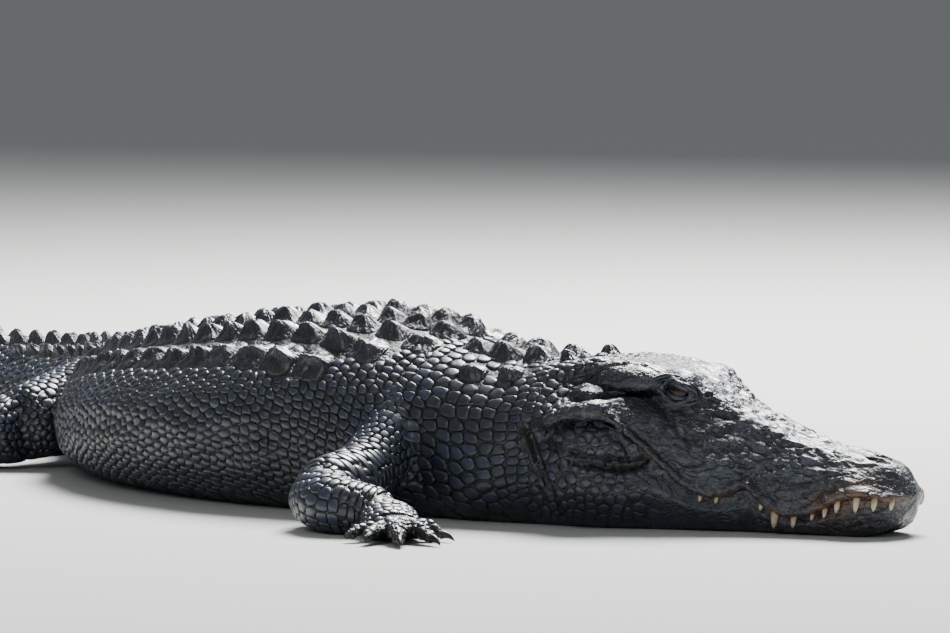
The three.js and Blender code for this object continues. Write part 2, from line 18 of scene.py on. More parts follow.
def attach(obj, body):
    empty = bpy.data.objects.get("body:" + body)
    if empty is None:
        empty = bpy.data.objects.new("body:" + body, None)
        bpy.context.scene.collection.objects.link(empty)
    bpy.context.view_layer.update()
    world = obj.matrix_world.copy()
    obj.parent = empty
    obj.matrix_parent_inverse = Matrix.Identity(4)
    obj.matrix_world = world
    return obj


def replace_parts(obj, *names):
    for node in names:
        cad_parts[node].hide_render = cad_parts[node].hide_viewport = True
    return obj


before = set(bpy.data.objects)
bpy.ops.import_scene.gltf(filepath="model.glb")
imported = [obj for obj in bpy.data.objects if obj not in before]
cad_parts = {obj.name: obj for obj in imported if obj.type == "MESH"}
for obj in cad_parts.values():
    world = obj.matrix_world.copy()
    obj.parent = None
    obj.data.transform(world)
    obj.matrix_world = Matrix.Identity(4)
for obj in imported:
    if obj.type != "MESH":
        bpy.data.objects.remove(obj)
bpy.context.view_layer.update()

bl_info = {
    "name": "Resting alligator",
    "version": (1, 0, 0),
    "blender": (4, 5, 0),
    "location": "View3D > Sidebar > Alligator",
    "description": "Builds a life-size resting alligator over its packed frame",
    "category": "Object",
}

MM = 0.001
RNG = np.random.default_rng(11)

# Driving dimensions, in millimetres.
LENGTH = 3400.0
ORIGIN_STATION = 1130.0
HEAD_SPAN = (430.0, 560.0)  # where the skull's outline gives way to the neck's
FINE_END = 500.0  # end of the finely meshed head
TRUNK_END = 1600.0
BELLY_ARCH = 2.4
GROUND_SINK = 0.12
LIP_STEP = 9.0
LIP_DROP = 8.0
EYE = {"station": 305.0, "side": 60.0, "z": 174.0, "radius": 19.0}
NOSTRIL = {"station": 44.0, "side": 14.0, "z": 103.0}
SIDES = (1, -1)  # right and left
FLESH_NODES = [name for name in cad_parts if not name.endswith("_eye")]


def knot_slopes(x, y):
    """Slope of y at each knot x from its neighbours; y may have several columns."""
    lower = np.maximum(np.arange(len(x)) - 1, 0)
    upper = np.minimum(np.arange(len(x)) + 1, len(x) - 1)
    return ((y[upper] - y[lower]).T / (x[upper] - x[lower])).T


def between_knots(x, y, slope, at, *columns):
    """Smooth values at places between the knots x; columns say which column of y each place reads."""
    i = np.clip(np.searchsorted(x, at, side="right") - 1, 0, len(x) - 2)
    w = x[i + 1] - x[i]
    u = (at - x[i]) / w
    low, high = (i, *columns), (i + 1, *columns)
    rise = y[low] + (y[high] - y[low]) * u * u * (3 - 2 * u)
    return rise + w * u * (1 - u) * (slope[low] * (1 - u) - slope[high] * u)


def profile(knots):
    """A smooth curve through (station, value) knots, level beyond both ends."""
    x, y = np.array(knots, float).T
    slope = knot_slopes(x, y)

    def curve(s):
        """The curve's value at a station."""
        return between_knots(x, y, slope, np.clip(s, x[0], x[-1]))

    return curve


# The body's lines by station: widths are half of the whole, heights are over the ground.
heading = profile([
    (484, 31), (720, 17), (1130, -1), (1500, -12), (1800, -8), (2250, 12), (2750, 36), (LENGTH, 70),
])
body_half = profile([
    (470, 146), (560, 150), (640, 166), (740, 200), (880, 236), (1050, 254), (1200, 248), (1330, 218),
    (1450, 172), (1560, 142), (1700, 122), (1900, 104), (2200, 80), (2600, 54), (3000, 31), (3250, 15),
    (3400, 5),
])
body_top = profile([
    (470, 205), (540, 206), (620, 218), (740, 239), (860, 245), (1050, 225), (1250, 199), (1450, 176),
    (1600, 160), (1750, 149), (1950, 135), (2250, 115), (2600, 92), (3000, 58), (3250, 32), (3400, 12),
])
body_waist = profile([(470, 0.36), (800, 0.4), (1500, 0.4), (2000, 0.42), (3400, 0.45)])
body_arch = profile([(470, 2.3), (700, 2.1), (1500, 2.1), (1900, 1.7), (3400, 1.6)])

head_top = profile([
    (0, 58), (10, 74), (25, 88), (60, 98), (100, 105), (134, 112), (164, 120), (194, 133), (218, 144),
    (239, 154), (258, 166), (290, 186), (330, 200), (400, 207), (470, 205),
])
table_half = profile([
    (0, 5), (20, 17), (60, 30), (110, 34), (210, 36), (260, 43), (300, 53), (400, 72), (470, 78),
])
recess_half = profile([
    (0, 9), (20, 28), (60, 47), (110, 52), (210, 60), (300, 76), (400, 84), (470, 100),
])
recess_z = profile([
    (0, 56), (20, 73), (60, 83), (110, 86), (160, 95), (210, 112), (300, 154), (400, 173), (470, 184),
])
cheek_half = profile([
    (0, 14), (20, 42), (60, 63), (110, 66), (210, 80), (300, 104), (400, 129), (470, 132),
])
cheek_z = profile([
    (0, 52), (20, 60), (60, 68), (110, 62), (160, 66), (210, 82), (300, 119), (400, 158), (470, 150),
])
lip_half = profile([
    (0, 18), (8, 37), (22, 54), (45, 66), (75, 71), (112, 69), (150, 79), (210, 87), (300, 112), (400, 142),
    (470, 147),
])
mouth_z = profile([
    (0, 44), (20, 45), (45, 48), (67, 46), (96, 33), (121, 24), (145, 22), (165, 29), (182, 41), (197, 54),
    (208, 54), (222, 47), (240, 43), (257, 46), (278, 57), (300, 76), (330, 104), (378, 138), (420, 138),
    (455, 126), (470, 120),
])
jaw_half = profile([
    (0, 8), (10, 26), (30, 48), (60, 60), (140, 70), (210, 80), (300, 108), (400, 150), (470, 146),
])
jaw_bottom = profile([(0, 34), (10, 24), (30, 9), (60, 0)])
# Turns of the head's named lines from the skull's middle to the chin's, and that of the mouth.
TURNS = np.array([0, 0.14, 0.24, 0.36, 0.44, 0.48, 0.62, 0.8, 1])
MOUTH_TURN = 0.48

# The spine's line on the ground, worked out from its heading.
SPINE_STEP = 5.0
SPINE_LEAD = 100.0  # how far the line goes on past both ends of the body
stations = np.arange(-SPINE_LEAD, LENGTH + SPINE_LEAD + SPINE_STEP, SPINE_STEP)
spine_angles = np.radians(heading(stations[:-1] + SPINE_STEP / 2))
home = int((ORIGIN_STATION + SPINE_LEAD) / SPINE_STEP)
spine_x = np.concatenate([[0], np.cumsum(-SPINE_STEP * np.cos(spine_angles))])
spine_y = np.concatenate([[0], np.cumsum(-SPINE_STEP * np.sin(spine_angles))])
spine_x -= spine_x[home]
spine_y -= spine_y[home]


def smooth(x, low, high):
    """0 below low, 1 above high, and smooth between."""
    u = np.clip((x - low) / (high - low), 0, 1)
    return u * u * (3 - 2 * u)


def bell(x, centre, width):
    """1 at the centre, fading smoothly over the width on both sides."""
    return np.exp(-(((x - centre) / width) ** 2))


def place(local):
    """Frame points in mm for local (station, right, height) rows."""
    s, right, z = local[..., 0], local[..., 1], local[..., 2]
    angle = np.radians(heading(s))
    x = np.interp(s, stations, spine_x) + right * np.sin(angle)
    y = np.interp(s, stations, spine_y) - right * np.cos(angle)
    return np.stack([x, y, z], -1)


def across(turn, columns):
    """Values between the head's named lines at the given turns."""
    lines = np.stack([np.broadcast_to(c, turn.shape) for c in columns])
    return between_knots(TURNS, lines, knot_slopes(TURNS, lines), turn, np.arange(len(turn)))


def outline(s, turn):
    """Local (station, right, height) of the plain body surface."""
    s, turn = np.broadcast_arrays(np.asarray(s, float), np.asarray(turn, float))
    shape = s.shape
    s, turn = s.ravel(), turn.ravel()
    t = np.abs(turn)
    side = np.sign(turn)
    # Body.
    up = np.cos(t * np.pi)
    top = body_top(s)
    waist = top * body_waist(s)
    arch = np.where(up > 0, body_arch(s), BELLY_ARCH)
    right_body = body_half(s) * np.abs(np.sin(t * np.pi)) ** (2 / arch)
    rise = np.where(up > 0, top - waist, waist + GROUND_SINK * top)
    z_body = waist + rise * np.sign(up) * np.abs(up) ** (2 / arch)
    # Head.
    mouth, base = mouth_z(s), jaw_bottom(s)
    lip = lip_half(s)
    sides = [
        0, table_half(s), recess_half(s), cheek_half(s), lip, lip - LIP_STEP * np.minimum(1, s / 40),
        jaw_half(s), jaw_half(s) * 0.72, 0,
    ]
    heights = [
        head_top(s), head_top(s) - 2, recess_z(s), cheek_z(s),
        np.minimum(mouth + LIP_DROP, cheek_z(s)), mouth,
        base + (mouth - base) * 0.55, base, base,
    ]
    right_head = across(t, sides)
    z_head = across(t, heights)
    blunt = np.sqrt(np.clip(1 - (1 - np.clip(s, 0, 14) / 14) ** 2, 0, 1))
    right_head *= blunt
    z_head = 50 + (z_head - 50) * blunt
    w = smooth(s, *HEAD_SPAN)
    right = right_head * (1 - w) + right_body * w
    z = np.maximum(z_head * (1 - w) + z_body * w, 0)
    return np.stack([s, right * side, z], -1).reshape(shape + (3,))


# Patterns.
def hashed(*keys):
    """Repeatable values from 0 to 1 for whole-number keys."""
    mixed = np.zeros(np.shape(keys[0]), np.uint64)
    for k, factor in zip(keys, (73856093, 19349663, 83492791, 49979687)):
        mixed ^= (np.asarray(k).astype(np.int64).astype(np.uint64) * np.uint64(factor))
    mixed ^= mixed >> np.uint64(13)
    mixed *= np.uint64(1274126177)
    mixed ^= mixed >> np.uint64(16)
    return (mixed & np.uint64(0xFFFFFF)).astype(float) / 0xFFFFFF


def noise(points, size, seed=0):
    """Soft value noise from -1 to 1 over rows of points in mm."""
    q = points / size
    base = np.floor(q)
    f = q - base
    f = f * f * (3 - 2 * f)
    total = np.zeros(len(points))
    for corner in range(2 ** points.shape[1]):
        bits = [(corner >> k) & 1 for k in range(points.shape[1])]
        weight = np.ones(len(points))
        for k, bit in enumerate(bits):
            weight *= f[:, k] if bit else 1 - f[:, k]
        cell = [base[:, k] + bit for k, bit in enumerate(bits)]
        total += weight * hashed(*cell, np.full(len(points), seed))
    return total * 2 - 1


def linear(hex_colour):
    """Linear colour from an sRGB hex string."""
    channels = [int(hex_colour[i:i + 2], 16) / 255 for i in (1, 3, 5)]
    return tuple(c / 12.92 if c <= 0.04045 else ((c + 0.055) / 1.055) ** 2.4 for c in channels) + (1.0,)


# Meshes.
def whole_numbers(rows, key, per=1):
    """The whole numbers under a key in a list of a mesh, in rows of per where there are several."""
    numbers = np.empty(len(rows) * per, np.int32)
    rows.foreach_get(key, numbers)
    return numbers if per == 1 else numbers.reshape(-1, per)


def mesh_object(name, points, faces, material=None, uv=None, values=None, rounded=True):
    """A mesh object from points in mm, with bake map and point values."""
    mesh = bpy.data.meshes.new(name)
    mesh.from_pydata((np.asarray(points) * MM).tolist(), [], [tuple(f) for f in faces])
    mesh.validate()
    if uv is not None:
        corners = whole_numbers(mesh.loops, "vertex_index")
        layer = mesh.uv_layers.new(name="OFBake")
        layer.data.foreach_set("uv", np.asarray(uv, np.float32)[corners].ravel())
    for key, data in (values or {}).items():
        layer = mesh.attributes.new(key, "FLOAT", "POINT")
        layer.data.foreach_set("value", np.asarray(data, np.float32))
    if rounded:
        mesh.shade_smooth()
    if material:
        mesh.materials.append(material)
    made = bpy.data.objects.new(name, mesh)
    bpy.context.scene.collection.objects.link(made)
    return made


def baked(obj, *modifiers):
    """Applies modifiers given as (type, settings) and returns the object with its new mesh."""
    for kind, settings in modifiers:
        modifier = obj.modifiers.new(kind.title(), kind)
        for key, value in settings.items():
            setattr(modifier, key, value)
    shown = obj.evaluated_get(bpy.context.evaluated_depsgraph_get())
    mesh = bpy.data.meshes.new_from_object(shown)
    obj.modifiers.clear()
    old = obj.data
    obj.data = mesh
    bpy.data.meshes.remove(old)
    return obj


def grid_faces(rows, columns, closed=True, start=0, flip=False):
    """Quads between rows of points laid out one after another."""
    r = np.arange(rows - 1)[:, None]
    c = np.arange(columns if closed else columns - 1)[None, :]
    n = (c + 1) % columns
    a, b = r * columns + c, r * columns + n
    quads = np.stack([a, b, b + columns, a + columns], -1).reshape(-1, 4) + start
    return quads[:, ::-1] if flip else quads


def positions(mesh):
    """A mesh's points in mm."""
    data = np.empty(len(mesh.vertices) * 3, np.float32)
    mesh.vertices.foreach_get("co", data)
    return data.reshape(-1, 3).astype(float) / MM


def move_points(mesh, points):
    """Puts a mesh's points at places in mm."""
    mesh.vertices.foreach_set("co", (np.asarray(points) * MM).astype(np.float32).ravel())
    mesh.update()


def grid_normals(grid, closed=True):
    """Outward normals of a (rows, columns, 3) grid of points."""
    along = np.gradient(grid, axis=0)
    if closed:
        around = np.roll(grid, -1, 1) - np.roll(grid, 1, 1)
    else:
        around = np.gradient(grid, axis=1)
    normal = np.cross(along, around)
    return normal / np.maximum(np.linalg.norm(normal, axis=-1, keepdims=True), 1e-9)


# Head modelling on local points.
SWELL_REACH = 2.2  # in radii from the egg's middle, beyond which nothing moves


def swell(p, centre, radii, soft=0.2):
    """Pushes points that lie inside an egg shape out to it, on both sides of the head."""
    mirrored = p.copy()
    mirrored[:, 1] = np.abs(p[:, 1])
    q = (mirrored - centre) / radii
    rho = np.maximum(np.linalg.norm(q, axis=1), 1e-3)
    wanted = (rho + 1 + np.sqrt((rho - 1) ** 2 + soft ** 2)) / 2 - soft ** 2 / 4 / np.maximum(rho, 1)
    wanted = np.where(rho > SWELL_REACH, rho, np.maximum(wanted, rho))
    out = np.asarray(centre) + (mirrored - centre) * (wanted / rho)[:, None]
    out[:, 1] *= np.where(p[:, 1] < 0, -1, 1)
    return out


def draw_in(p, amount):
    """Moves points towards the head's middle plane."""
    moved = p.copy()
    moved[:, 1] -= np.sign(p[:, 1]) * np.minimum(amount, np.abs(p[:, 1]) * 0.6)
    return moved


def span(s, a, b, c, d):
    """1 from b to c, fading to 0 at a and d."""
    return smooth(s, a, b) * (1 - smooth(s, c, d))


# Lines along the side of the head, as heights by station.
ear_slit = profile([(318, 174), (334, 173), (360, 168), (394, 162), (425, 165), (448, 170)])
ear_top = profile([(318, 178), (350, 195), (382, 199), (416, 190), (448, 174)])
cheek_crest = profile([
    (270, 96), (300, 124), (320, 144), (340, 153), (370, 157), (394, 153), (416, 147), (440, 139), (462, 126),
])
jowl_line = profile([(314, 100), (334, 87), (364, 85), (396, 90), (430, 101), (454, 115)])
jaw_angle = profile([(0, 424), (12, 430), (62, 452), (86, 465), (108, 476), (128, 482), (160, 478)])


def side_folds(s, side, z, t):
    """Height in mm of the head's rolls and creases over its plain surface, and how deep the creases are."""
    mouth = mouth_z(s)
    over_mouth, under_mouth = t < MOUTH_TURN, t > MOUTH_TURN + 0.005
    lid_share = np.clip((z - ear_slit(s)) / np.maximum(ear_top(s) - ear_slit(s), 1), 0, 1)
    lid_span = span(s, 320, 336, 420, 446)
    jowl_round = np.sqrt(np.clip(1 - ((z - 110) / 23) ** 2, 0, 1))
    jowl_side = np.where(z < jowl_line(s), 9.0, 3.6)
    rolls = [
        # The ear's lid, thickest at its lower edge.
        7.0 * smooth(lid_share, 0, 0.1) * (1 - smooth(lid_share, 0.35, 1.0)) * lid_span * (z > ear_slit(s)),
        # Roll under the ear.
        3.5 * bell(z, ear_slit(s) - 10, 6) * span(s, 324, 345, 390, 420),
        # Crest of the cheek.
        7.5 * bell(z, cheek_crest(s) - 3, 12) * span(s, 285, 340, 440, 470) * (t < 0.49),
        # Upper lip, the rear corner's lower lip, and the groove over the rear lip.
        3.4 * bell(z, mouth + 8, 6) * span(s, 20, 60, 450, 470) * (t < 0.481) * (side > 10),
        2.6 * bell(z, mouth - 5.5, 4) * span(s, 325, 350, 445, 462) * (t > 0.479),
        -2.4 * bell(z, mouth + 17, 3.0) * span(s, 250, 300, 420, 450) * over_mouth,
        # The jowl's bag under the mouth's rear corner, the flesh under it and the roll at the jaw's angle.
        17.0 * span(s, 335, 368, 420, 456) * jowl_round * under_mouth,
        8.0 * np.exp(-((s - 388) / 66) ** 2 - ((z - 50) / 27) ** 2) * under_mouth,
        4.0 * bell(s - jaw_angle(z), -15, 10) * span(z, 4, 20, 110, 130),
        # Bosses over the roots of the large upper teeth.
        4.0 * np.exp(-((s - 238) / 34) ** 2 - ((z - 78) / 20) ** 2) * over_mouth,
        3.0 * np.exp(-((s - 150) / 26) ** 2 - ((z - 56) / 18) ** 2) * over_mouth,
    ]
    creases = [
        # Under and over the ear's lid.
        12.0 * bell(z, ear_slit(s) - 1, 2.4) * span(s, 316, 334, 424, 446),
        3.0 * bell(z, ear_top(s) + 2, 3.0) * span(s, 330, 345, 420, 440),
        # Two folds under the mouth's rear corner.
        5.0 * bell(z, mouth - 12.5, 2.8) * span(s, 330, 356, 448, 462) * (t > 0.482),
        3.0 * bell(z, mouth - 21, 2.6) * span(s, 390, 410, 440, 458) * (t > 0.482),
        # The deep fold along the jowl, sharp above and sloping below, and the faint one under it.
        16.0 * bell(z, jowl_line(s), jowl_side) * span(s, 312, 334, 420, 456) * (t > 0.5),
        3.0 * bell(z, jowl_line(s) - 30, 4) * span(s, 250, 300, 360, 410) * (t > 0.5),
        # The upright fold where the head meets the neck, and its follower.
        12.0 * bell(s - jaw_angle(z), 0, 6.5) * span(z, 2, 18, 124, 142),
        3.0 * bell(s - jaw_angle(z), 16, 4) * span(z, 20, 40, 110, 134),
        # Grooves along the snout's side and over the cheek's crest.
        2.0 * bell(z, mouth + 19, 3.2) * span(s, 130, 180, 270, 305) * (t > 0.3) * over_mouth,
        2.6 * bell(z, cheek_crest(s) + 13, 3.5) * span(s, 250, 290, 360, 420) * (t < 0.45) * (t > 0.2),
    ]
    depth = np.max(creases, 0)
    return np.sum(rolls, 0) - depth, depth


def sculpt_head(p, turn):
    """Brows, nostrils, eye openings and ridges on local points of the head."""
    t = np.abs(turn).ravel()
    q = p.reshape(-1, 3)
    q = swell(q, (311, 52, 171), (27, 27, 28), 0.3)
    q = swell(q, (NOSTRIL["station"], NOSTRIL["side"], NOSTRIL["z"] - 7), (19, 13, 9), 0.3)
    q = swell(q, (374, 70, 185), (50, 18, 20), 0.2)
    s, side, z = q[:, 0], np.abs(q[:, 1]), q[:, 2]
    along, high = eye_plane(s, z)
    opening = np.sqrt((along / 17.5) ** 2 + (high / 12) ** 2)
    socket = (side > 38) * (t < 0.4)
    q = draw_in(q, 17 * (1 - smooth(opening, 0.75, 1.12)) * socket)
    rings = 0.9 * np.cos((opening - 1.22) * 2 * math.pi / 0.42) * span(opening, 1.1, 1.3, 1.6, 2.2) * socket
    q = draw_in(q, -rings)
    # Ridges from the brow towards the nostril and along the skull table's edge.
    ridge = bell(side, table_half(s) + 4, 7) * smooth(s, 120, 170) * (1 - smooth(s, 262, 300)) * (t < 0.3)
    q[:, 2] += 3.2 * ridge
    table_edge = bell(side, table_half(s) - 4, 6) * span(s, 335, 350, 420, 450) * (t < 0.2)
    q[:, 2] += 3.0 * table_edge
    middle = bell(side, 0, 16) * smooth(s, 60, 110) * (1 - smooth(s, 200, 250)) * (t < 0.3)
    q[:, 2] -= 2.6 * middle
    # Nostril openings: a crescent in each raised disc.
    hole_s = s - NOSTRIL["station"] - 2
    hole_r = side - NOSTRIL["side"] - 1
    hole = ((hole_s + 0.25 * hole_r) / 6.5) ** 2 + (hole_r / 4.6) ** 2
    q[:, 2] -= 9 * (1 - smooth(hole, 0.35, 1.1)) * (t < 0.3)
    q[:, 2] = np.maximum(q[:, 2], 0)
    return q.reshape(p.shape)


EYE_LEAN = 0.25  # slope of the eye's long axis, down towards the snout


def eye_plane(s, z):
    """Distances from the eye's centre along its opening and across it."""
    back, up = s - EYE["station"], z - EYE["z"]
    return back + EYE_LEAN * up, up - EYE_LEAN * back


HEAD_COLUMNS = 132  # columns on each side of the finely meshed head
BODY_EVERY = 3  # the body keeps every third column


def head_columns():
    """Turns of the head's columns on one side, close at the mouth, and how deep each dips in there."""
    slit = [
        (0.4755, 0), (0.4785, 0.6), (0.4797, 4.5), (0.4799, 10), (0.4801, 10), (0.4803, 4.5), (0.4815, 0.6),
        (0.4845, 0),
    ]
    plain = HEAD_COLUMNS + 1 - len(slit)
    above = int(plain * 0.56)
    # Even steps along the surface above and below the mouth.
    at = np.full(400, 250.0)
    fine = np.linspace(0, 1, 400)
    path = outline(at, fine)
    gone = np.concatenate([[0], np.cumsum(np.linalg.norm(np.diff(path, axis=0), axis=1))])
    reach = np.interp(MOUTH_TURN, fine, gone)
    upper = np.interp(np.linspace(0, reach - 1.6, above), gone, fine)
    lower = np.interp(np.linspace(reach + 1.8, gone[-1], plain - above), gone, fine)
    turn = np.concatenate([upper, [a for a, _ in slit], lower])
    dip = np.concatenate([upper * 0, [b for _, b in slit], lower * 0])
    turn[0], turn[-1] = 0, 1
    return np.sort(turn), dip


def ring(turn):
    """A whole ring of turns from those of one side."""
    return np.concatenate([turn, -turn[-2:0:-1]])


def hide_grid():
    """Points, faces, bake map and point values of the hide without limbs, among them how dark its creases and
    cracks are painted as shade.
    """
    turn, dip = head_columns()
    plain = np.linspace(0, 1, HEAD_COLUMNS + 1)
    rows = np.concatenate([[0.7, 2.2, 4.5, 7.5, 11], np.arange(14, FINE_END, 2.45)])
    fade = smooth(rows, 440, 492)[:, None]
    turns = ring(turn)[None, :] * (1 - fade) + ring(plain)[None, :] * fade
    dips = np.concatenate([dip, dip[-2:0:-1]])[None, :] * (1 - smooth(rows, 425, 462))[:, None]
    dips = dips * smooth(rows, 0, 25)[:, None]
    local = outline(rows[:, None], turns)
    s, side, z, t = local[..., 0], np.abs(local[..., 1]), local[..., 2], np.abs(turns)
    folds, depth = side_folds(s, side, z, t)
    local = sculpt_head(local, turns)
    spare = np.maximum(np.abs(local[..., 1]) - 4, 0)
    local[..., 1] -= np.sign(local[..., 1]) * np.minimum(dips, spare)
    grid = place(local)
    normal = grid_normals(place(outline(rows[:, None], turns)))
    grid = grid + normal * (folds * (1 - np.clip(dips / 2, 0, 1)) * smooth(z, 0, 8))[..., None]
    normal = grid_normals(grid)
    rise, crack = head_texture(local, turns, dips)
    keep = (1 - smooth(rows, 484, 499))[:, None]
    grid = grid + normal * (rise * keep)[..., None]
    grid[..., 2] = np.maximum(grid[..., 2], 0)
    # Painted shade: how dark each point is painted in the head's cracks, folds, lip grooves and the mouth's
    # slit.
    painted_shade = np.clip(crack * 0.8 + depth / 6 + dips / 4, 0, 1)
    head_uv = np.stack(np.broadcast_arrays(rows[:, None] / LENGTH, (turns + 1) / 2), -1)
    # The rest of the body.
    far = np.concatenate([np.arange(FINE_END + 6, LENGTH - 12, 12.0), [LENGTH - 6, LENGTH - 1]])
    few = 2 * HEAD_COLUMNS // BODY_EVERY
    body_turns = np.broadcast_to(ring(plain[::BODY_EVERY])[None, :], (len(far), few))
    body_local = sculpt_body(outline(far[:, None], body_turns), body_turns)
    body = place(body_local)
    body_uv = np.stack(np.broadcast_arrays(far[:, None] / LENGTH, (body_turns + 1) / 2), -1)
    columns = turns.shape[1]
    first = len(rows) * columns
    points = np.concatenate([grid.reshape(-1, 3), body.reshape(-1, 3)])
    faces = [tuple(f) for f in grid_faces(len(rows), columns)]
    a0, b0 = (len(rows) - 1) * columns, first
    for j in range(few):
        a = [a0 + (BODY_EVERY * j + k) % columns for k in range(BODY_EVERY + 1)]
        b, c = b0 + j, b0 + (j + 1) % few
        faces += [(a[0], a[1], b), (a[1], a[2], c, b), (a[2], a[3], c)]
    faces += [tuple(f) for f in grid_faces(len(far), few, start=first)]
    tip, end = len(points), len(points) + 1
    points = np.concatenate([points, [grid[0].mean(0)], [body[-1].mean(0)]])
    faces += [(tip, (j + 1) % columns, j) for j in range(columns)]
    last = first + (len(far) - 1) * few
    faces += [(end, last + j, last + (j + 1) % few) for j in range(few)]
    uv = np.concatenate([head_uv.reshape(-1, 2), body_uv.reshape(-1, 2), [[0, 0.5], [1, 0.5]]])
    # Zone 0 marks the hide of neck, body and tail, which is painted near-black as the shade between its
    # scales.
    zone = np.concatenate([np.ones(first), np.zeros(len(points) - first)])
    jowl = smooth(s, 296, 345) * (t > 0.487) * smooth(z, 6, 16) * smooth(mouth_z(s) - z, 6, 13)
    on_lid = span(s, 320, 336, 420, 446) * (z > ear_slit(s) - 3) * (z < ear_top(s) + 2)
    temple = smooth(s, 396, 426) * (t < 0.48) * smooth(z - mouth_z(s), 5, 12) * (1 - on_lid)
    plates = np.maximum(jowl, temple) * np.clip(1 - depth / 5, 0, 1) * (dips < 0.4)
    # The jowl's hide between its strewn plates gets painted shade too.
    painted_shade = np.maximum(painted_shade, 0.6 * jowl)
    plates = np.concatenate([plates.ravel(), np.zeros(len(points) - first)])
    creases = np.concatenate([painted_shade.ravel(), np.zeros(len(points) - first)])
    stain = np.concatenate([lip_stain(local).ravel(), np.zeros(len(points) - first)])
    return points, faces, uv, {"painted_shade": creases, "zone": zone, "stain": stain, "plates": plates}


def lip_stain(local):
    """Where the lips are stained ochre and brown, from 0 to 1."""
    s, z = local[..., 0], local[..., 2]
    near = 0.8 * bell(z, mouth_z(s) + 2, 7) * (1 - smooth(s, 300, 350))
    muzzle = 1.2 * bell(s, 74, 44) * bell(z, mouth_z(s) + 2, 24)
    flat = local.reshape(-1, 3)
    patchy = noise(flat, 26, 5).reshape(s.shape) * 0.7 + noise(flat, 7, 6).reshape(s.shape) * 0.6
    return np.clip(np.maximum(near, muzzle) * (0.6 + patchy), 0, 1) * (np.abs(local[..., 1]) > 8)


def cracked(points, size, seed, width):
    """How near points are to the borders of cells about size mm across (1 on them), and each cell's value."""
    q = points / size
    base = np.floor(q)
    near = np.full(len(q), 1e9)
    second = np.full(len(q), 1e9)
    tag = np.zeros(len(q))
    for step in np.ndindex(3, 3, 3):
        cell = base + np.array(step) - 1
        keys = cell[:, 0], cell[:, 1], cell[:, 2]
        seed_point = cell + np.stack([hashed(*keys, cell[:, 0] * 0 + seed + k) for k in range(3)], -1)
        d = np.linalg.norm(q - seed_point, axis=1) * size
        closer = d < near
        second = np.where(closer, near, np.minimum(second, d))
        tag = np.where(closer, hashed(*keys, cell[:, 0] * 0 + seed + 9), tag)
        near = np.where(closer, d, near)
    return np.exp(-((second - near) / width) ** 2), tag


def head_texture(local, turns, dips):
    """Height in mm of the plates, wrinkles and pits on the head, and how deep in a crack each point lies,
    which sets the painted shade there.
    """
    shape = turns.shape
    flat = local.reshape(-1, 3)
    s, t, z = flat[:, 0], np.abs(turns).ravel(), flat[:, 2]
    above = t < MOUTH_TURN
    rear = smooth(s, 285, 350)
    small, small_tag = cracked(flat, 10.5, 8, 2.8)
    wrinkle = flat * [0.42, 1.0, 1.0]
    rugged = 1 - np.abs(noise(wrinkle, 8.5, 21)) * 2.2
    rugged += 0.6 * (1 - np.abs(noise(flat * [0.6, 1, 1], 5.2, 22)) * 2)
    bumps = noise(flat, 22, 23)
    broad, broad_tag = cracked(flat * [0.6, 1, 1], 15, 12, 3.2)
    snout = 1.5 * rugged + 1.5 * bumps - 1.6 * broad + 0.9 * (broad_tag - 0.5)
    smooth_nose = span(s, -40, -20, 55, 90)
    snout = snout * (1 - 0.6 * smooth_nose)
    nape = -1.3 * small + 0.6 * (small_tag - 0.5) + 0.5 * rugged + 0.8 * bumps
    upper = snout * (1 - rear) + nape * rear
    jowl = 0.5 * bumps - 0.6
    chin = -1.4 * small + 0.7 * (small_tag - 0.5) + 0.5 * rugged + 1.2 * bumps
    back = smooth(s, 210, 280)
    lower = jowl * back + chin * (1 - back)
    rise = np.where(above, upper, lower)
    upper_crack = np.maximum(0.55 * broad, np.clip(-rugged * 0.5, 0, 1)) * (1 - rear) + 0.7 * small * rear
    crack = np.where(above, upper_crack, 0.6 * small * (1 - back))
    # Narrow upright scales along both lips.
    gap = z - mouth_z(s)
    beads = np.abs(np.sin(s * math.pi / 9.5 + noise(flat, 30, 31)))
    lips = np.exp(-((np.abs(gap) - 2) / 6.5) ** 2) * (1 - smooth(s, 330, 400)) * (t > 0.3)
    rise = rise * (1 - lips * 0.8) + lips * (2.0 * np.sqrt(beads) - 1.1)
    crack = crack * (1 - lips) + lips * (1 - smooth(beads, 0.1, 0.5))
    along, high = eye_plane(s, z)
    lid = (along / 34) ** 2 + (high / 24) ** 2
    calm = (1 - 0.6 * np.exp(-lid * 1.5) * (t < 0.4)) * (1 - np.clip(dips.ravel() / 3, 0, 1))
    base = smooth(z, 1, 12)
    ends = smooth(s, 2, 30)
    return (rise * calm * base * ends).reshape(shape), np.clip(crack * calm, 0, 1).reshape(shape)


def sculpt_body(local, turns):
    """Muscles and folds of neck, trunk and tail on local points."""
    q = local.copy()
    s, t, z = q[..., 0], np.abs(turns), q[..., 2]
    side = np.sign(turns)
    out = 11 * bell(s, 556, 44) * bell(t, 0.5, 0.2)
    out = out - 15 * bell(s - 0.3 * (z - 90), 626, 17) * bell(t, 0.5, 0.22)
    out = out - 9 * bell(s - 0.35 * (z - 60), 770, 20) * bell(t, 0.52, 0.14)
    out = out + 5 * bell(s, 1480, 60) * bell(t, 0.42, 0.12)
    flat = q.reshape(-1, 3)
    soft = noise(flat, 120, 41).reshape(s.shape) * 4.0 + noise(flat, 55, 42).reshape(s.shape) * 2.0
    drift = noise(flat, 60, 44).reshape(s.shape) * 3.0
    wave = 2.2 * np.sin((z + 0.16 * s) / 7.5 + drift) * span(s, 740, 820, 1380, 1480) * bell(t, 0.5, 0.14)
    out = out + soft * bell(t, 0.5, 0.22) * (1 - smooth(s, 1700, 2300)) + wave
    q[..., 1] += side * out
    edge = smooth(s, LENGTH - 60, LENGTH)
    q[..., 2] += noise(flat, 90, 43).reshape(s.shape) * 1.2 * (t < 0.4) * (1 - edge) - 1.2 * (t < 0.5)
    q[..., 2] = np.maximum(q[..., 2], 0)
    return q


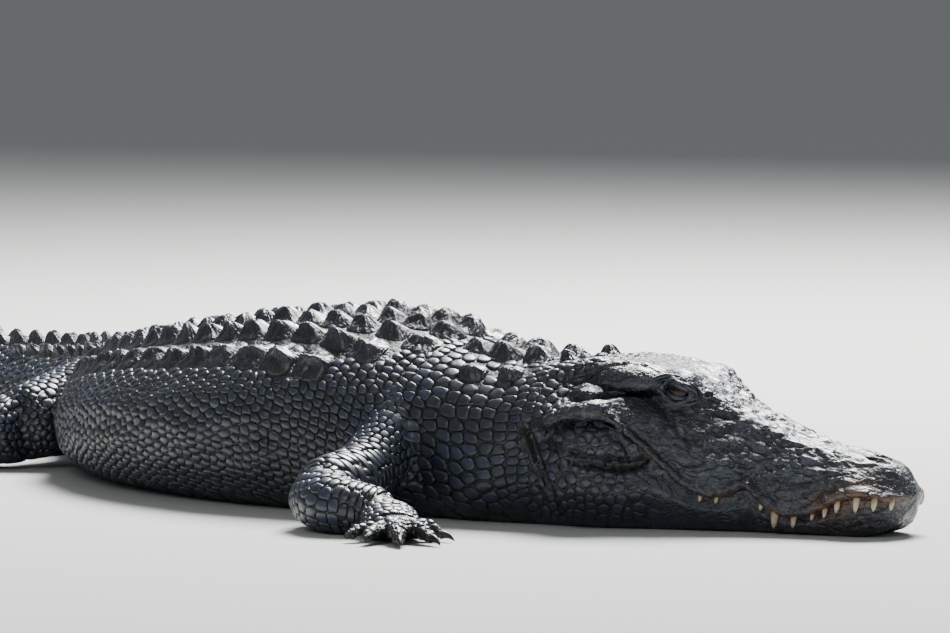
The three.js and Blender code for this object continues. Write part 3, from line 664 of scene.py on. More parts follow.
# Surfaces that scales are laid on, read by distances along and around in mm.
class Trunk:
    """The body's plain outline by station and arc from the back's midline."""

    def __init__(self):
        self.s = np.arange(0, LENGTH + 1, 20.0)
        fine = np.linspace(0, 1, 161)
        path = place(outline(self.s[:, None], fine[None, :]))
        steps = np.linalg.norm(np.diff(path, axis=1), axis=2)
        gone = np.concatenate([np.zeros((len(self.s), 1)), np.cumsum(steps, axis=1)], 1)
        self.half_girth = gone[:, -1]
        self.arcs = np.arange(0, gone.max() + 4, 4.0)
        self.turns = np.array([np.interp(self.arcs, g, fine) for g in gone])

    def turn(self, s, arc):
        """The turn at an arc from the back's midline."""
        i = np.clip(s / 20, 0, len(self.s) - 1.001)
        j = np.clip(np.abs(arc) / 4, 0, len(self.arcs) - 1.001)
        a, b = i.astype(int), j.astype(int)
        u, v = i - a, j - b
        low = self.turns[a, b] * (1 - v) + self.turns[a, b + 1] * v
        high = self.turns[a + 1, b] * (1 - v) + self.turns[a + 1, b + 1] * v
        return np.sign(arc) * (low * (1 - u) + high * u)

    def girth(self, s):
        """Arc from the back's midline to the belly's."""
        return np.interp(s, self.s, self.half_girth)

    def at(self, a, b):
        """Frame points in mm."""
        return place(outline(a, self.turn(a, b)))

    def uv(self, a, b):
        """Places in the bake map."""
        turn = self.turn(a, b)
        return np.stack([a / LENGTH, (turn + 1) / 2], -1)


class Tube:
    """A limb segment or toe: a round path in the frame, read by distance along it and around from its top."""

    def __init__(self, path, radii, flat=1.0):
        path = np.asarray(path, float)
        chord = np.concatenate([[0], np.cumsum(np.sqrt(np.linalg.norm(np.diff(path, axis=0), axis=1)))])
        chord /= chord[-1]
        self.u = np.linspace(0, 1, 41)
        self.line = np.stack([profile(list(zip(chord, path[:, k])))(self.u) for k in range(3)], -1)
        along = np.gradient(self.line, axis=0)
        self.along = along / np.linalg.norm(along, axis=1, keepdims=True)
        self.length = np.linalg.norm(np.diff(self.line, axis=0), axis=1).sum()
        right = np.cross([0, 0, 1.0], self.along)
        self.right = right / np.linalg.norm(right, axis=1, keepdims=True)
        self.up = np.cross(self.along, self.right)
        self.radius = profile(radii)
        self.flat = flat
        self.patch = (0, 0, 1, 1)

    def read(self, table, u):
        """Rows of a table at shares of the tube's length."""
        return np.stack([np.interp(u, self.u, table[:, k]) for k in range(3)], -1)

    def at(self, a, b):
        """Frame points in mm."""
        u = np.clip(a / self.length, 0, 1)
        r = self.radius(u)
        angle = b / np.maximum(r, 1)
        wide = (r * np.sin(angle))[..., None] * self.read(self.right, u)
        high = (r * self.flat * np.cos(angle))[..., None] * self.read(self.up, u)
        return self.read(self.line, u) + wide + high

    def uv(self, a, b):
        """Places in the bake map."""
        x, y, w, h = self.patch
        turn = b / np.maximum(self.radius(np.clip(a / self.length, 0, 1)), 1) / (2 * math.pi)
        share = np.clip(a / self.length, 0, 1)
        return np.stack([x + share * w, y + (np.clip(turn, -0.5, 0.5) + 0.5) * h], -1)

    def nearest(self, points):
        """Distance from the tube's surface and (along, around) for each point."""
        gap = np.linalg.norm(points[:, None, :] - self.line[None, :, :], axis=2)
        i = gap.argmin(1)
        off = points - self.line[i]
        x = (off * self.right[i]).sum(1)
        y = (off * self.up[i]).sum(1) / self.flat
        r = self.radius(self.u[i])
        return np.abs(np.hypot(x, y) - r), self.u[i] * self.length, np.arctan2(x, y) * r

    def mesh(self, rows, columns):
        """Closed points and faces."""
        u = np.linspace(0, 1, rows)
        angle = np.arange(columns) / columns * 2 * math.pi
        a = np.broadcast_to(u[:, None] * self.length, (rows, columns))
        b = angle[None, :] * self.radius(u)[:, None]
        points = self.at(a.ravel(), b.ravel())
        ends = [
            self.line[0] - self.along[0] * self.radius(0) * 0.4,
            self.line[-1] + self.along[-1] * self.radius(1) * 0.5,
        ]
        faces = [tuple(f) for f in grid_faces(rows, columns)]
        n = len(points)
        last = (rows - 1) * columns
        faces += [(n, (j + 1) % columns, j) for j in range(columns)]
        faces += [(n + 1, last + j, last + (j + 1) % columns) for j in range(columns)]
        return np.concatenate([points, ends]), faces


# Radii of the legs' segments by share of their length.
FORE_RADII = {
    "upper": [(0, 68), (0.3, 46), (0.52, 39), (0.8, 41), (1, 43)],
    "lower": [(0, 41), (0.35, 40), (0.7, 35), (1, 30)],
    "palm": [(0, 29), (0.5, 38), (1, 37)],
}
HIND_RADII = {
    "upper": [(0, 76), (0.35, 66), (0.7, 56), (1, 50)],
    "lower": [(0, 50), (0.35, 49), (0.7, 39), (1, 32)],
    "palm": [(0, 34), (0.5, 42), (1, 42)],
}
# Middle lines of the legs by (station, side, height).
LEGS = {
    "right_fore": {
        "upper": [(674, 90, 120), (657, 202, 66), (642, 304, 44)],
        "lower": [(644, 312, 41), (602, 344, 35), (554, 334, 30)],
        "palm": [(552, 330, 28), (538, 352, 23), (522, 376, 14)],
    },
    "left_fore": {
        "upper": [(690, -90, 120), (716, -205, 66), (744, -300, 44)],
        "lower": [(744, -304, 41), (692, -338, 35), (632, -338, 30)],
        "palm": [(636, -338, 28), (608, -344, 23), (584, -352, 14)],
    },
    "right_hind": {
        "upper": [(1500, 60, 90), (1466, 152, 76), (1416, 236, 62)],
        "lower": [(1416, 244, 55), (1474, 298, 48), (1548, 314, 33)],
        "palm": [(1548, 314, 31), (1492, 344, 25), (1446, 372, 14)],
    },
    "left_hind": {
        "upper": [(1500, -60, 90), (1490, -152, 76), (1446, -244, 60)],
        "lower": [(1446, -250, 55), (1510, -298, 48), (1584, -308, 33)],
        "palm": [(1584, -308, 31), (1530, -338, 25), (1484, -366, 14)],
    },
}
# Toes from the inner one outwards: turn from the foot's own direction, length, radius and claw length.
TOES = {
    "fore": [(58, 70, 11, 17), (26, 92, 11.5, 18), (-2, 100, 11.5, 18), (-30, 88, 10, 0), (-62, 72, 9, 0)],
    "hind": [(44, 92, 12.5, 20), (18, 126, 13, 21), (-8, 136, 13, 21), (-36, 116, 11, 0)],
}
FLATNESS = {"upper": 1.0, "lower": 0.92, "palm": 0.62}


def limb_parts(name):
    """The segments of one leg as tubes, and its toes as (tube, way, tip, radius, claw length)."""
    leg = LEGS[name]
    side = 1 if name.startswith("right") else -1
    radii = FORE_RADII if name.endswith("fore") else HIND_RADII
    tubes = {
        part: Tube(place(np.array(path, float)), radii[part], FLATNESS[part]) for part, path in leg.items()
    }
    palm = place(np.array(leg["palm"], float))
    reach = (palm[2] - palm[0]) * [1, 1, 0]
    reach /= np.linalg.norm(reach)
    knuckle = palm[2] - reach * 10
    knuckle[2] = 0
    toes = []
    for turn, length, radius, claw in TOES[name.split("_")[1]]:
        angle = math.radians(side * turn)
        cos, sin = math.cos(angle), math.sin(angle)
        way = np.array([reach[0] * cos - reach[1] * sin, reach[0] * sin + reach[1] * cos, 0])
        root = knuckle + way * 14 + [0, 0, 16]
        bend = knuckle + way * (14 + length * 0.5) + [0, 0, radius + 6]
        tip = knuckle + way * length + [0, 0, radius * 0.62]
        swell_at = [(0, 1.15), (0.3, 0.92), (0.5, 1.0), (0.8, 0.82), (1, 0.58)]
        toes.append((Tube([root, bend, tip], [(u, radius * k) for u, k in swell_at]), way, tip, radius, claw))
    row = list(LEGS).index(name)
    for column, tube in enumerate(list(tubes.values()) + [toe[0] for toe in toes]):
        tube.patch = (column / 8 + 0.002, 0.62 + row * 0.095, 0.12, 0.09)
    return tubes, toes


LIMBS = {name: limb_parts(name) for name in LEGS}
TUBES = [tube for tubes, toes in LIMBS.values() for tube in list(tubes.values()) + [toe[0] for toe in toes]]
TRUNK = Trunk()
# What a piece leaves for later ones: middles and rims of the scales laid so far, the hide's tree and bare
# areas, and the scales' material.
state = {"laid": [], "edges": []}


# Scutes.
ROW_PITCH = 49.0
FIRST_ROW = 676.0
column_arc = profile([
    (620, 42), (760, 48), (1050, 54), (1300, 52), (1500, 44), (1650, 38), (1900, 33), (2140, 26),
])
# Columns of scutes on each side of the back, from a station on.
COLUMN_COUNT = [(0, 0), (660, 2), (690, 3), (750, 4), (1400, 3), (1560, 2)]
OUTER_SPREAD = 0.24  # how much wider the outermost column's plates are
SHIELD_END = 638.0
NECK_SHIELD = [  # (station, arc, size, keel height)
    (464, 20, 19, 8), (468, 52, 28, 17), (518, 40, 44, 23), (530, 92, 34, 14), (570, 42, 50, 21),
    (580, 100, 38, 15), (612, 36, 42, 17),
]
SIDE_ROW_END = 2100.0  # where the tail's rows beside the crest stop
CREST_MERGE = 2420.0  # where the crest's two rows become one
tail_pitch = profile([(1700, 57), (2400, 52), (3000, 42), (3400, 30)])
crest_height = profile([(1620, 19), (1850, 19), (2100, 23), (2300, 36), (2420, 44), (2900, 44), (3400, 22)])


def columns_at(s):
    """Columns of scutes on each side of the back at a station."""
    return [count for start, count in COLUMN_COUNT if s >= start][-1]


def scute_rows():
    """Every scute as (station, arc, length, width, keel height, kind)."""
    rows = []
    for station, arc, size, height in NECK_SHIELD:
        s = min(station, SHIELD_END - size * 0.55)
        rows += [(s, side * arc, size, size * 0.95, height, "nuchal") for side in SIDES]
    for s in np.arange(FIRST_ROW, TRUNK_END - 25, ROW_PITCH):
        count = columns_at(s)
        wide = column_arc(s)
        for c in range(count - 1):
            arc = wide * (c + 0.5)
            rows += [(s, side * arc, ROW_PITCH * 0.98, wide * 0.97, 20.5 + c, "dorsal") for side in SIDES]
        arc = wide * (count - 0.5 + OUTER_SPREAD / 2)
        rows += [(s, side * arc, ROW_PITCH * 0.97, wide * (1 + OUTER_SPREAD), 15.5, "side") for side in SIDES]
    s = TRUNK_END + 32
    while s < LENGTH - 24:
        pitch = tail_pitch(s)
        height = crest_height(s) * 0.97
        if s < CREST_MERGE:
            wide = column_arc(s)
            for side in SIDES:
                rows.append((s, side * wide * 0.5, pitch * 0.98, 27, height, "crest"))
                if s < SIDE_ROW_END:
                    rows.append((s, side * wide * 1.75, pitch * 0.95, 31, 17, "dorsal"))
        else:
            rows.append((s, 0.0, pitch, 21, height, "crest"))
        s += pitch
    return rows


SCUTES = scute_rows()


def surface_normals(surface, a, b):
    """Facing of a surface, and its direction towards its far end."""
    step = 2.0
    along = surface.at(a + step, b) - surface.at(a - step, b)
    around = surface.at(a, b + step) - surface.at(a, b - step)
    normal = np.cross(along, around)
    normal /= np.maximum(np.linalg.norm(normal, axis=1, keepdims=True), 1e-9)
    along /= np.maximum(np.linalg.norm(along, axis=1, keepdims=True), 1e-9)
    return normal, along


# How far over and under the plain surface the hide is looked for.
BODY_RAYS = (34, 46)
LIMB_RAYS = (6, 10)
SCUTE_RAYS = (25, 40)
STREWN_RAYS = (7, 9)
LID_RAYS = (60, 40)


def cast(points, normals, above, below):
    """Where rays cast inwards meet the hide, and how far out of the start points that is (nan: nowhere)."""
    tree = state["tree"]
    hits = points.copy()
    out = np.full(len(points), np.nan)
    starts = points + normals * above
    for i in range(len(points)):
        met, _, _, distance = tree.ray_cast(Vector(starts[i]), Vector(-normals[i]), above + below)
        if met is not None:
            hits[i] = met
            out[i] = above - distance
    return hits, out


def scale_lattice(a_range, b_range, size_a, size_b, seed, jitter=0.24):
    """Centres and spacing of staggered scales; b_range gives its two limits for any a."""
    rng = np.random.default_rng(seed)
    centres = []
    a = a_range[0]
    row = 0
    while a < a_range[1]:
        low, high = b_range(a)
        wide, long = size_b(a), size_a(a)
        count = max(int((high - low) / wide), 1)
        step = (high - low) / count
        for c in range(count):
            b = low + (c + 0.5 + 0.5 * (row % 2)) * step
            da, db = rng.uniform(-jitter, jitter, 2)
            centres.append((a + da * long, b + db * step, long, step))
        a += long
        row += 1
    return np.array(centres)


# Cross-sections of a scale as (share of the way out, share of the height) from its middle to its sunken rim.
DOME = ((0.5, 0.9), (0.78, 0.66), (0.93, 0.28), (1.03, -0.45))
PLATE = ((0.56, 0.96), (0.82, 0.84), (0.94, 0.45), (1.02, -0.45))
JOWL_PLATE = ((0.5, 0.95), (0.74, 0.8), (0.86, 0.4), (0.93, -0.5))
FAR_BORDER = 1e3  # stands for no neighbour that way
WIDEST_CELL = 0.72  # in the scale's own spacing
LOWEST = 0.05  # no scale's point lies lower over the ground
TRIES_PER_SCALE = 12  # places tried for each scale that would fit an area
STREWN_MAP = 0.0003  # share of the bake map that 1 mm of a strewn scale takes


def circle(count, turn=0.0):
    """Unit vectors in evenly spread directions."""
    angles = np.arange(count) / count * 2 * math.pi + turn
    return np.stack([np.cos(angles), np.sin(angles)], -1)


def cell_reach(offsets, ways, share):
    """How far a cell reaches each way, with its border at a share of the way to each neighbour."""
    if not len(offsets):
        return np.full(len(ways), FAR_BORDER)
    toward = offsets @ ways.T
    facing = toward > 0.05
    bound = np.where(facing, (offsets ** 2).sum(1)[:, None] / np.maximum(toward, 0.05), FAR_BORDER) * share
    # A soft minimum rounds the corners.
    return (bound ** -9).sum(0) ** (-1 / 9)


def lay_scales(surface, centres, directions, height, limits, ghosts=None, skip=None, shape=DOME):
    """Scales around (a, b, long, wide) centres, cut to each other's borders and laid on the hide.

    Ghosts are neighbours that only cut; height gives each centre's own; skip says which centres are left out.
    """
    everyone = centres if ghosts is None else np.concatenate([centres, ghosts])
    ways = circle(directions, 0.13)
    reach = np.empty((len(centres), directions))
    order = np.argsort(everyone[:, 0])
    sorted_a = everyone[order, 0]
    for k, (a, b, long, wide) in enumerate(centres):
        near = order[np.searchsorted(sorted_a, a - 2.3 * long):np.searchsorted(sorted_a, a + 2.3 * long)]
        d = (everyone[near, :2] - (a, b)) / (long, wide)
        d = d[(np.abs(d[:, 1]) < 2.3) & (np.abs(d).sum(1) > 0.001)]
        reach[k] = np.minimum(cell_reach(d, ways, 0.5), WIDEST_CELL)
    shares, lifts = np.array(shape).T
    out_a, out_b = reach * centres[:, 2:3] * ways[:, 0], reach * centres[:, 3:4] * ways[:, 1]
    a = centres[:, 0][:, None, None] + out_a[:, None, :] * shares[None, :, None]
    b = centres[:, 1][:, None, None] + out_b[:, None, :] * shares[None, :, None]
    a = np.concatenate([centres[:, :1], a.reshape(len(centres), -1)], 1)
    b = np.concatenate([centres[:, 1:2], b.reshape(len(centres), -1)], 1)
    per = a.shape[1]
    normal, _ = surface_normals(surface, centres[:, 0], centres[:, 1])
    hits, out = cast(surface.at(a.ravel(), b.ravel()), np.repeat(normal, per, 0), *limits)
    hits, out = hits.reshape(-1, per, 3), out.reshape(-1, per)
    # A scale is left out where the hide is missing, too steep, or another surface's.
    kept = ~np.isnan(out).any(1)
    out = np.nan_to_num(out)
    steepest = 0.9 if surface is TRUNK else 0.6
    kept &= out.max(1) - out.min(1) < steepest * np.minimum(centres[:, 2], centres[:, 3])
    if skip is not None:
        kept &= ~skip(centres)
    gap, _, number = nearest_tube(hits[:, 0])
    if surface is TRUNK:
        kept &= gap + 3 > np.abs(out[:, 0])
    else:
        kept &= np.array([k >= 0 and TUBES[k] is surface for k in number])
    rim = slice(1 + directions, 1 + 2 * directions)
    state["laid"].append(hits[kept, 0])
    state["edges"].append(hits[kept, rim].reshape(-1, 3))
    size = reach.mean(1) * np.sqrt(centres[:, 2] * centres[:, 3])
    lift = np.concatenate([[1.0], np.repeat(lifts, directions)])
    tall = height(centres) * np.clip(size / 6, 0.4, 1.3)
    points = hits + normal[:, None, :] * (lift[None, :] * tall[:, None])[..., None]
    points[..., 2] = np.maximum(points[..., 2], LOWEST)
    uv = surface.uv(a.ravel(), b.ravel()).reshape(-1, per, 2)
    count = int(kept.sum())
    tris, quads = fan_faces(directions, len(shares), count, per)
    tone = np.repeat(RNG.random(count), per)
    # Rise is 0 at the sunken rim, where the scales' material paints black shade.
    rise = np.tile(np.clip(lift, 0, 1), count)
    return points[kept].reshape(-1, 3), tris, quads, uv[kept].reshape(-1, 2), {"tone": tone, "rise": rise}


class Cells:
    """Places kept by the cube of space that they lie in, to find those near a point."""

    def __init__(self, size, points):
        self.size = size
        self.cubes = {}
        for p in points:
            self.keep(p)

    def keep(self, p):
        """Adds a place."""
        self.cubes.setdefault(tuple((p // self.size).astype(int)), []).append(p)

    def near(self, p):
        """Places in the cubes round a point."""
        x, y, z = (p // self.size).astype(int)
        cubes = [(x + i, y + j, z + k) for i in (-1, 0, 1) for j in (-1, 0, 1) for k in (-1, 0, 1)]
        return [q for cube in cubes for q in self.cubes.get(cube, ())]

    def clear(self, p, distance):
        """Whether no place lies within a distance of a point."""
        around = self.near(p)
        return not around or (((np.array(around) - p) ** 2).sum(1) > distance ** 2).all()


def strew_scales(area, spacing, height, seed, fill, shape=DOME):
    """Scales strewn on an area of the hide wherever others have left it bare."""
    rng = np.random.default_rng(seed)
    corners, normals, places, share = area
    edge_a, edge_b = corners[:, 1] - corners[:, 0], corners[:, 2] - corners[:, 0]
    size = np.linalg.norm(np.cross(edge_a, edge_b), axis=1) / 2
    count = int(size.sum() / spacing ** 2 * TRIES_PER_SCALE)
    pick = rng.choice(len(size), count, p=size / size.sum())
    u, v = rng.random(count), rng.random(count)
    over_half = u + v > 1
    u[over_half], v[over_half] = 1 - u[over_half], 1 - v[over_half]
    spots = corners[pick, 0] + edge_a[pick] * u[:, None] + edge_b[pick] * v[:, None]
    middles = Cells(spacing, np.concatenate(state["laid"]))
    rims = Cells(spacing, np.concatenate(state["edges"]))
    chosen = []
    for index, p in enumerate(spots):
        if middles.clear(p, 0.86 * spacing) and rims.clear(p, 0.4 * spacing):
            middles.keep(p)
            chosen.append(index)
    directions = 10
    ways = circle(directions)
    shares, lifts = np.array(shape).T
    lift = np.concatenate([[1.0], np.repeat(lifts, directions)])
    per = len(lift)
    inner = np.arange(per) < per - directions
    points, uvs = [], []
    for index in chosen:
        p, normal = spots[index], normals[pick[index]]
        first = np.cross(normal, (0.31, 0.17, 0.94))
        first /= np.linalg.norm(first)
        plane = np.stack([first, np.cross(normal, first)])
        reach = np.full(directions, fill * spacing)
        # Borders lie half way to other middles and just short of the rims of scales that are laid.
        for cells, share_of_way in ((middles, 0.5), (rims, 0.9)):
            d = (np.array(cells.near(p) or [p]) - p) @ plane.T
            d = d[np.abs(d).sum(1) > 0.01]
            reach = np.minimum(cell_reach(d, ways, share_of_way), reach)
        spokes = reach[None, :, None] * shares[:, None, None] * ways
        flat = np.concatenate([[[0, 0]], spokes.reshape(-1, 2)])
        base = p + flat @ plane
        hits, out = cast(base, np.repeat(normal[None], len(base), 0), *STREWN_RAYS)
        if np.isnan(out).any():
            continue
        tall = height * share[pick[index]] * min(reach.mean() / 6, 1.2)
        laid = hits + normal * (np.where(inner, tall, height) * lift)[:, None]
        laid[:, 2] = np.maximum(laid[:, 2], LOWEST)
        points.append(laid)
        uvs.append(places[pick[index]] + flat * STREWN_MAP)
    tris, quads = fan_faces(directions, len(shares), len(points), per)
    tone = np.repeat(rng.random(len(points)), per)
    # Rise is 0 at the sunken rim, where the scales' material paints black shade.
    rise = np.tile(np.clip(lift, 0, 1), len(points))
    return np.concatenate(points), tris, quads, np.concatenate(uvs), {"tone": tone, "rise": rise}


def fan_faces(directions, rings, count, per):
    """Triangles round each scale's middle and quads between its rings, for count scales of per points."""
    j = np.arange(directions)
    k = (j + 1) % directions
    tris = np.stack([j * 0, 1 + j, 1 + k], -1)
    starts = 1 + np.arange(rings) * directions
    quads = np.concatenate([np.stack([a + j, b + j, b + k, a + k], -1) for a, b in zip(starts, starts[1:])])
    offsets = np.arange(count)[:, None, None] * per
    return (tris[None] + offsets).reshape(-1, 3), (quads[None] + offsets).reshape(-1, 4)


TUBE_REACH = 120.0  # how far from a tube's line points are measured from it


def nearest_tube(points):
    """Distance from the nearest leg surface, bake map place there and number of that tube, for each point."""
    best = np.full(len(points), 1e9)
    uv = np.zeros((len(points), 2))
    number = np.full(len(points), -1)
    for k, tube in enumerate(TUBES):
        low, high = tube.line.min(0) - TUBE_REACH, tube.line.max(0) + TUBE_REACH
        rows = np.nonzero((points > low).all(1) & (points < high).all(1))[0]
        if not len(rows):
            continue
        gap, a, b = tube.nearest(points[rows])
        better = gap < best[rows]
        best[rows[better]] = gap[better]
        uv[rows[better]] = tube.uv(a[better], b[better])
        number[rows[better]] = k
    return best, uv, number


def join_coat(parts):
    """One set of points, faces, bake map and values from several."""
    points, faces, uvs, values = [], [], [], {}
    start = 0
    for p, tris, quads, uv, extra in parts:
        points.append(p)
        uvs.append(uv)
        faces += (tris + start).tolist() + (quads + start).tolist()
        for key, data in extra.items():
            values.setdefault(key, []).append(data)
        start += len(p)
    values = {key: np.concatenate(data) for key, data in values.items()}
    return np.concatenate(points), faces, np.concatenate(uvs), values


def under_scute(centres):
    """Whether each (station, arc) lies on a scute's own ground."""
    covered = np.zeros(len(centres), bool)
    for s, arc, length, width, _, _ in SCUTES:
        u = (centres[:, 0] - s) / (length / 2)
        v = (centres[:, 1] - arc) / (width / 2)
        covered |= (np.abs(u) ** 3 + np.abs(v) ** 3) < 1.0
    return covered


SCUTE_WAYS = 36
SCUTE_RINGS = np.array([0.1, 0.22, 0.36, 0.5, 0.64, 0.77, 0.88, 0.96, 1.02])
# A keel's height along the plate, from its rear to its front, as shares of the whole.
KEEL_STOPS = (-1.05, -0.88, -0.68, -0.42, 0.02, 0.36, 0.66, 0.92)
KEEL_HEIGHTS = {
    "dorsal": (0.1, 0.5, 0.9, 1.0, 1.0, 0.84, 0.46, 0.08),
    "nuchal": (0.1, 0.5, 0.9, 1.0, 0.98, 0.78, 0.4, 0.06),
    "side": (0.1, 0.62, 0.96, 1.0, 1.0, 0.94, 0.66, 0.12),
    "crest": (0.1, 0.46, 0.92, 1.0, 0.94, 0.62, 0.3, 0.06),
}
KEEL_WIDTHS = {"dorsal": 0.44, "nuchal": 0.5, "side": 0.26, "crest": 0.5}


def scute_shape(f, angle, kind, height, phase):
    """Height in mm over the hide at share f of the way to the rim, in each direction from the keel's line."""
    u, v = f * np.cos(angle), f * np.sin(angle)
    dome, keel_wide = 2.5 if kind == "crest" else 4.6, KEEL_WIDTHS[kind]
    rim = np.clip(1 - f ** 4.5, 0, 1)
    shift = 0.14 * math.sin(phase * 5)
    along = np.interp(u + shift, KEEL_STOPS, KEEL_HEIGHTS[kind])
    crook = v - 0.1 * np.sin(u * 3 + phase)
    ridge = np.exp(-np.abs(crook / (keel_wide * (1.25 - 0.4 * along))) ** 2.2)
    z = dome * rim + (height - dome) * along * ridge * rim ** 0.5
    rays = np.sin(angle * 9 + phase) * 0.7 + np.sin(angle * 5 + phase * 3) * 0.6
    return z + rays * f * (1 - f) * 4.6 * (0.6 if kind == "crest" else 1.0)


def lay_scutes(kinds, rows):
    """Keeled plates as polar grids laid on the hide."""
    points, tris, quads, uvs = [], [], [], []
    values = {"tone": [], "rise": [], "fore": [], "beside": []}
    angles = np.arange(SCUTE_WAYS) / SCUTE_WAYS * 2 * math.pi
    edge = (np.abs(np.cos(angles)) ** 3.4 + np.abs(np.sin(angles)) ** 3.4) ** (-1 / 3.4)
    f = np.concatenate([[0], np.repeat(SCUTE_RINGS, SCUTE_WAYS)])
    way = np.concatenate([[0], np.tile(angles, len(SCUTE_RINGS))])
    reach = np.concatenate([[0], np.tile(edge, len(SCUTE_RINGS))])
    # Forward is towards the head, so lower stations.
    u, v = f * reach * np.cos(way), f * reach * np.sin(way)
    ring_starts = 1 + np.arange(len(SCUTE_RINGS)) * SCUTE_WAYS
    j = np.arange(SCUTE_WAYS)
    k = (j + 1) % SCUTE_WAYS
    start = 0
    for index, (s, arc, length, width, height, kind) in enumerate(rows):
        if kind not in kinds:
            continue
        rng = np.random.default_rng(500 + index)
        length, width = length * rng.uniform(0.97, 1.0), width * rng.uniform(0.95, 1.0)
        height = height * rng.uniform(0.76, 1.0)
        phase = rng.uniform(0, 6)
        narrow = 1 - 0.1 * u
        a = s - u * length / 2
        b = arc + v * width / 2 * narrow
        normal, ahead = surface_normals(TRUNK, np.array([s]), np.array([arc]))
        base = TRUNK.at(a, b)
        hits, out = cast(base, np.repeat(normal, len(base), 0), *SCUTE_RAYS)
        if np.isnan(out).any():
            hits = np.where(np.isnan(out)[:, None], base, hits)
        pitted = noise(np.stack([a, b], -1), 7.0, 70 + index) * (f < 0.95)
        z = scute_shape(f, way, kind, height, phase) + pitted
        z = np.where(f > 1.0, -3.0, z)
        lean = z * 0.16 if kind == "crest" else z * 0.05
        points.append(hits + normal * z[:, None] + ahead * lean[:, None])
        uvs.append(TRUNK.uv(a, b))
        tris.append(np.stack([j * 0, 1 + k, 1 + j], -1) + start)
        for p, q in zip(ring_starts, ring_starts[1:]):
            quads.append(np.stack([p + j, p + k, q + k, q + j], -1) + start)
        values["tone"].append(np.full(len(base), rng.random()))
        # Rise, the share of the keel's height, sets black painted shade at the plate's foot and paler worn
        # horn on the keel.
        values["rise"].append(np.clip(z / max(height, 1), 0, 1))
        values["fore"].append(u)
        values["beside"].append(v)
        start += len(base)
    values = {key: np.concatenate(data) for key, data in values.items()}
    return np.concatenate(points), np.concatenate(tris), np.concatenate(quads), np.concatenate(uvs), values


# Pieces.
LIMB_VOXEL = 4.2
BODY_MAP = np.array([1, 0.6])  # the body's share of the bake map, under the legs' patches in it


def build_limbs():
    """The legs and toes as one skinned mesh."""
    parts, faces = [], []
    start = 0
    for tubes, toes in LIMBS.values():
        for tube, rows, columns in [(t, 26, 32) for t in tubes.values()] + [(toe[0], 22, 16) for toe in toes]:
            p, f = tube.mesh(rows, columns)
            p[:, 2] = np.maximum(p[:, 2], 0)
            parts.append(p)
            faces += [tuple(i + start for i in face) for face in f]
            start += len(p)
    limbs = mesh_object("limbs", np.concatenate(parts), faces)
    baked(limbs, ("REMESH", {"mode": "VOXEL", "voxel_size": LIMB_VOXEL * MM, "adaptivity": 0.0}))
    mesh = limbs.data
    p = positions(mesh)
    p = relax(p, whole_numbers(mesh.edges, "vertices", 2), np.ones(len(p)), 6)
    p += limb_muscle(p)
    p[:, 2] = np.maximum(p[:, 2], 0.0)
    move_points(mesh, p)
    return baked(limbs, ("DECIMATE", {"ratio": 0.4}))


def map_hide(mesh, uv):
    """Writes the hide's bake map, with the faces that cross the belly's seam drawn back to one side."""
    corners = whole_numbers(mesh.loops, "vertex_index")
    totals = whole_numbers(mesh.polygons, "loop_total")
    face_of = np.repeat(np.arange(len(totals)), totals)
    spot = uv[corners]
    low, high = np.full(len(totals), 9.0), np.full(len(totals), -9.0)
    np.minimum.at(low, face_of, spot[:, 1])
    np.maximum.at(high, face_of, spot[:, 1])
    wraps = (high - low > 0.3)[face_of] & (spot[:, 1] > 0.5) & (spot[:, 1] <= BODY_MAP[1])
    spot[wraps, 1] = 0.0
    layer = mesh.uv_layers.get("OFBake") or mesh.uv_layers.new(name="OFBake")
    layer.data.foreach_set("uv", spot.astype(np.float32).ravel())


def build_hide():
    """The unbroken hide with its limbs, and the places that scales are strewn on."""
    points, faces, uv, values = hide_grid()
    core = mesh_object("hide", points, faces)
    core.data.flip_normals()
    limbs = build_limbs()
    baked(core, ("BOOLEAN", {"operation": "UNION", "object": limbs, "solver": "MANIFOLD"}))
    bpy.data.objects.remove(limbs)
    mesh = core.data
    p = positions(mesh)
    edges = whole_numbers(mesh.edges, "vertices", 2)
    # Find each point's values again from the plain hide, or from the limb it lies on.
    tree = KDTree(len(points))
    for i, q in enumerate(points):
        tree.insert(q, i)
    tree.balance()
    found = [tree.find(q) for q in p]
    index = np.array([f[1] for f in found])
    own = np.array([f[2] for f in found]) < 0.02
    uv = uv[index] * BODY_MAP
    uv[~own] = nearest_tube(p[~own])[1]
    # Smooth the junctions, less with each edge away from them.
    joint = np.zeros(len(p))
    crossing = own[edges[:, 0]] != own[edges[:, 1]]
    joint[edges[crossing].ravel()] = 1
    for _ in range(7):
        spread = joint.copy()
        np.maximum.at(spread, edges[:, 0], joint[edges[:, 1]] * 0.9)
        np.maximum.at(spread, edges[:, 1], joint[edges[:, 0]] * 0.9)
        joint = spread
    p = relax(p, edges, joint, 24)
    p[:, 2] = np.maximum(p[:, 2], 0)
    move_points(mesh, p)
    state["tree"] = BVHTree.FromPolygons(p.tolist(), [tuple(face.vertices) for face in mesh.polygons])
    mesh.calc_loop_triangles()
    triangles = whole_numbers(mesh.loop_triangles, "vertices", 3)
    values = {key: np.where(own, data[index], 0) for key, data in values.items()}
    legs = (~own[triangles]).any(1) | (joint[triangles] > 0.25).any(1)
    state["legs"] = bare_area(p, triangles[legs], uv, np.ones(legs.sum()))
    share = values.pop("plates")[triangles].mean(1)
    state["jowls"] = bare_area(p, triangles[share > 0.12], uv, share[share > 0.12])
    map_hide(mesh, uv)
    values["limb"] = (~own).astype(float)
    for key, data in values.items():
        attribute = mesh.attributes.new(key, "FLOAT", "POINT")
        attribute.data.foreach_set("value", data.astype(np.float32))
    mesh.shade_smooth()
    return core


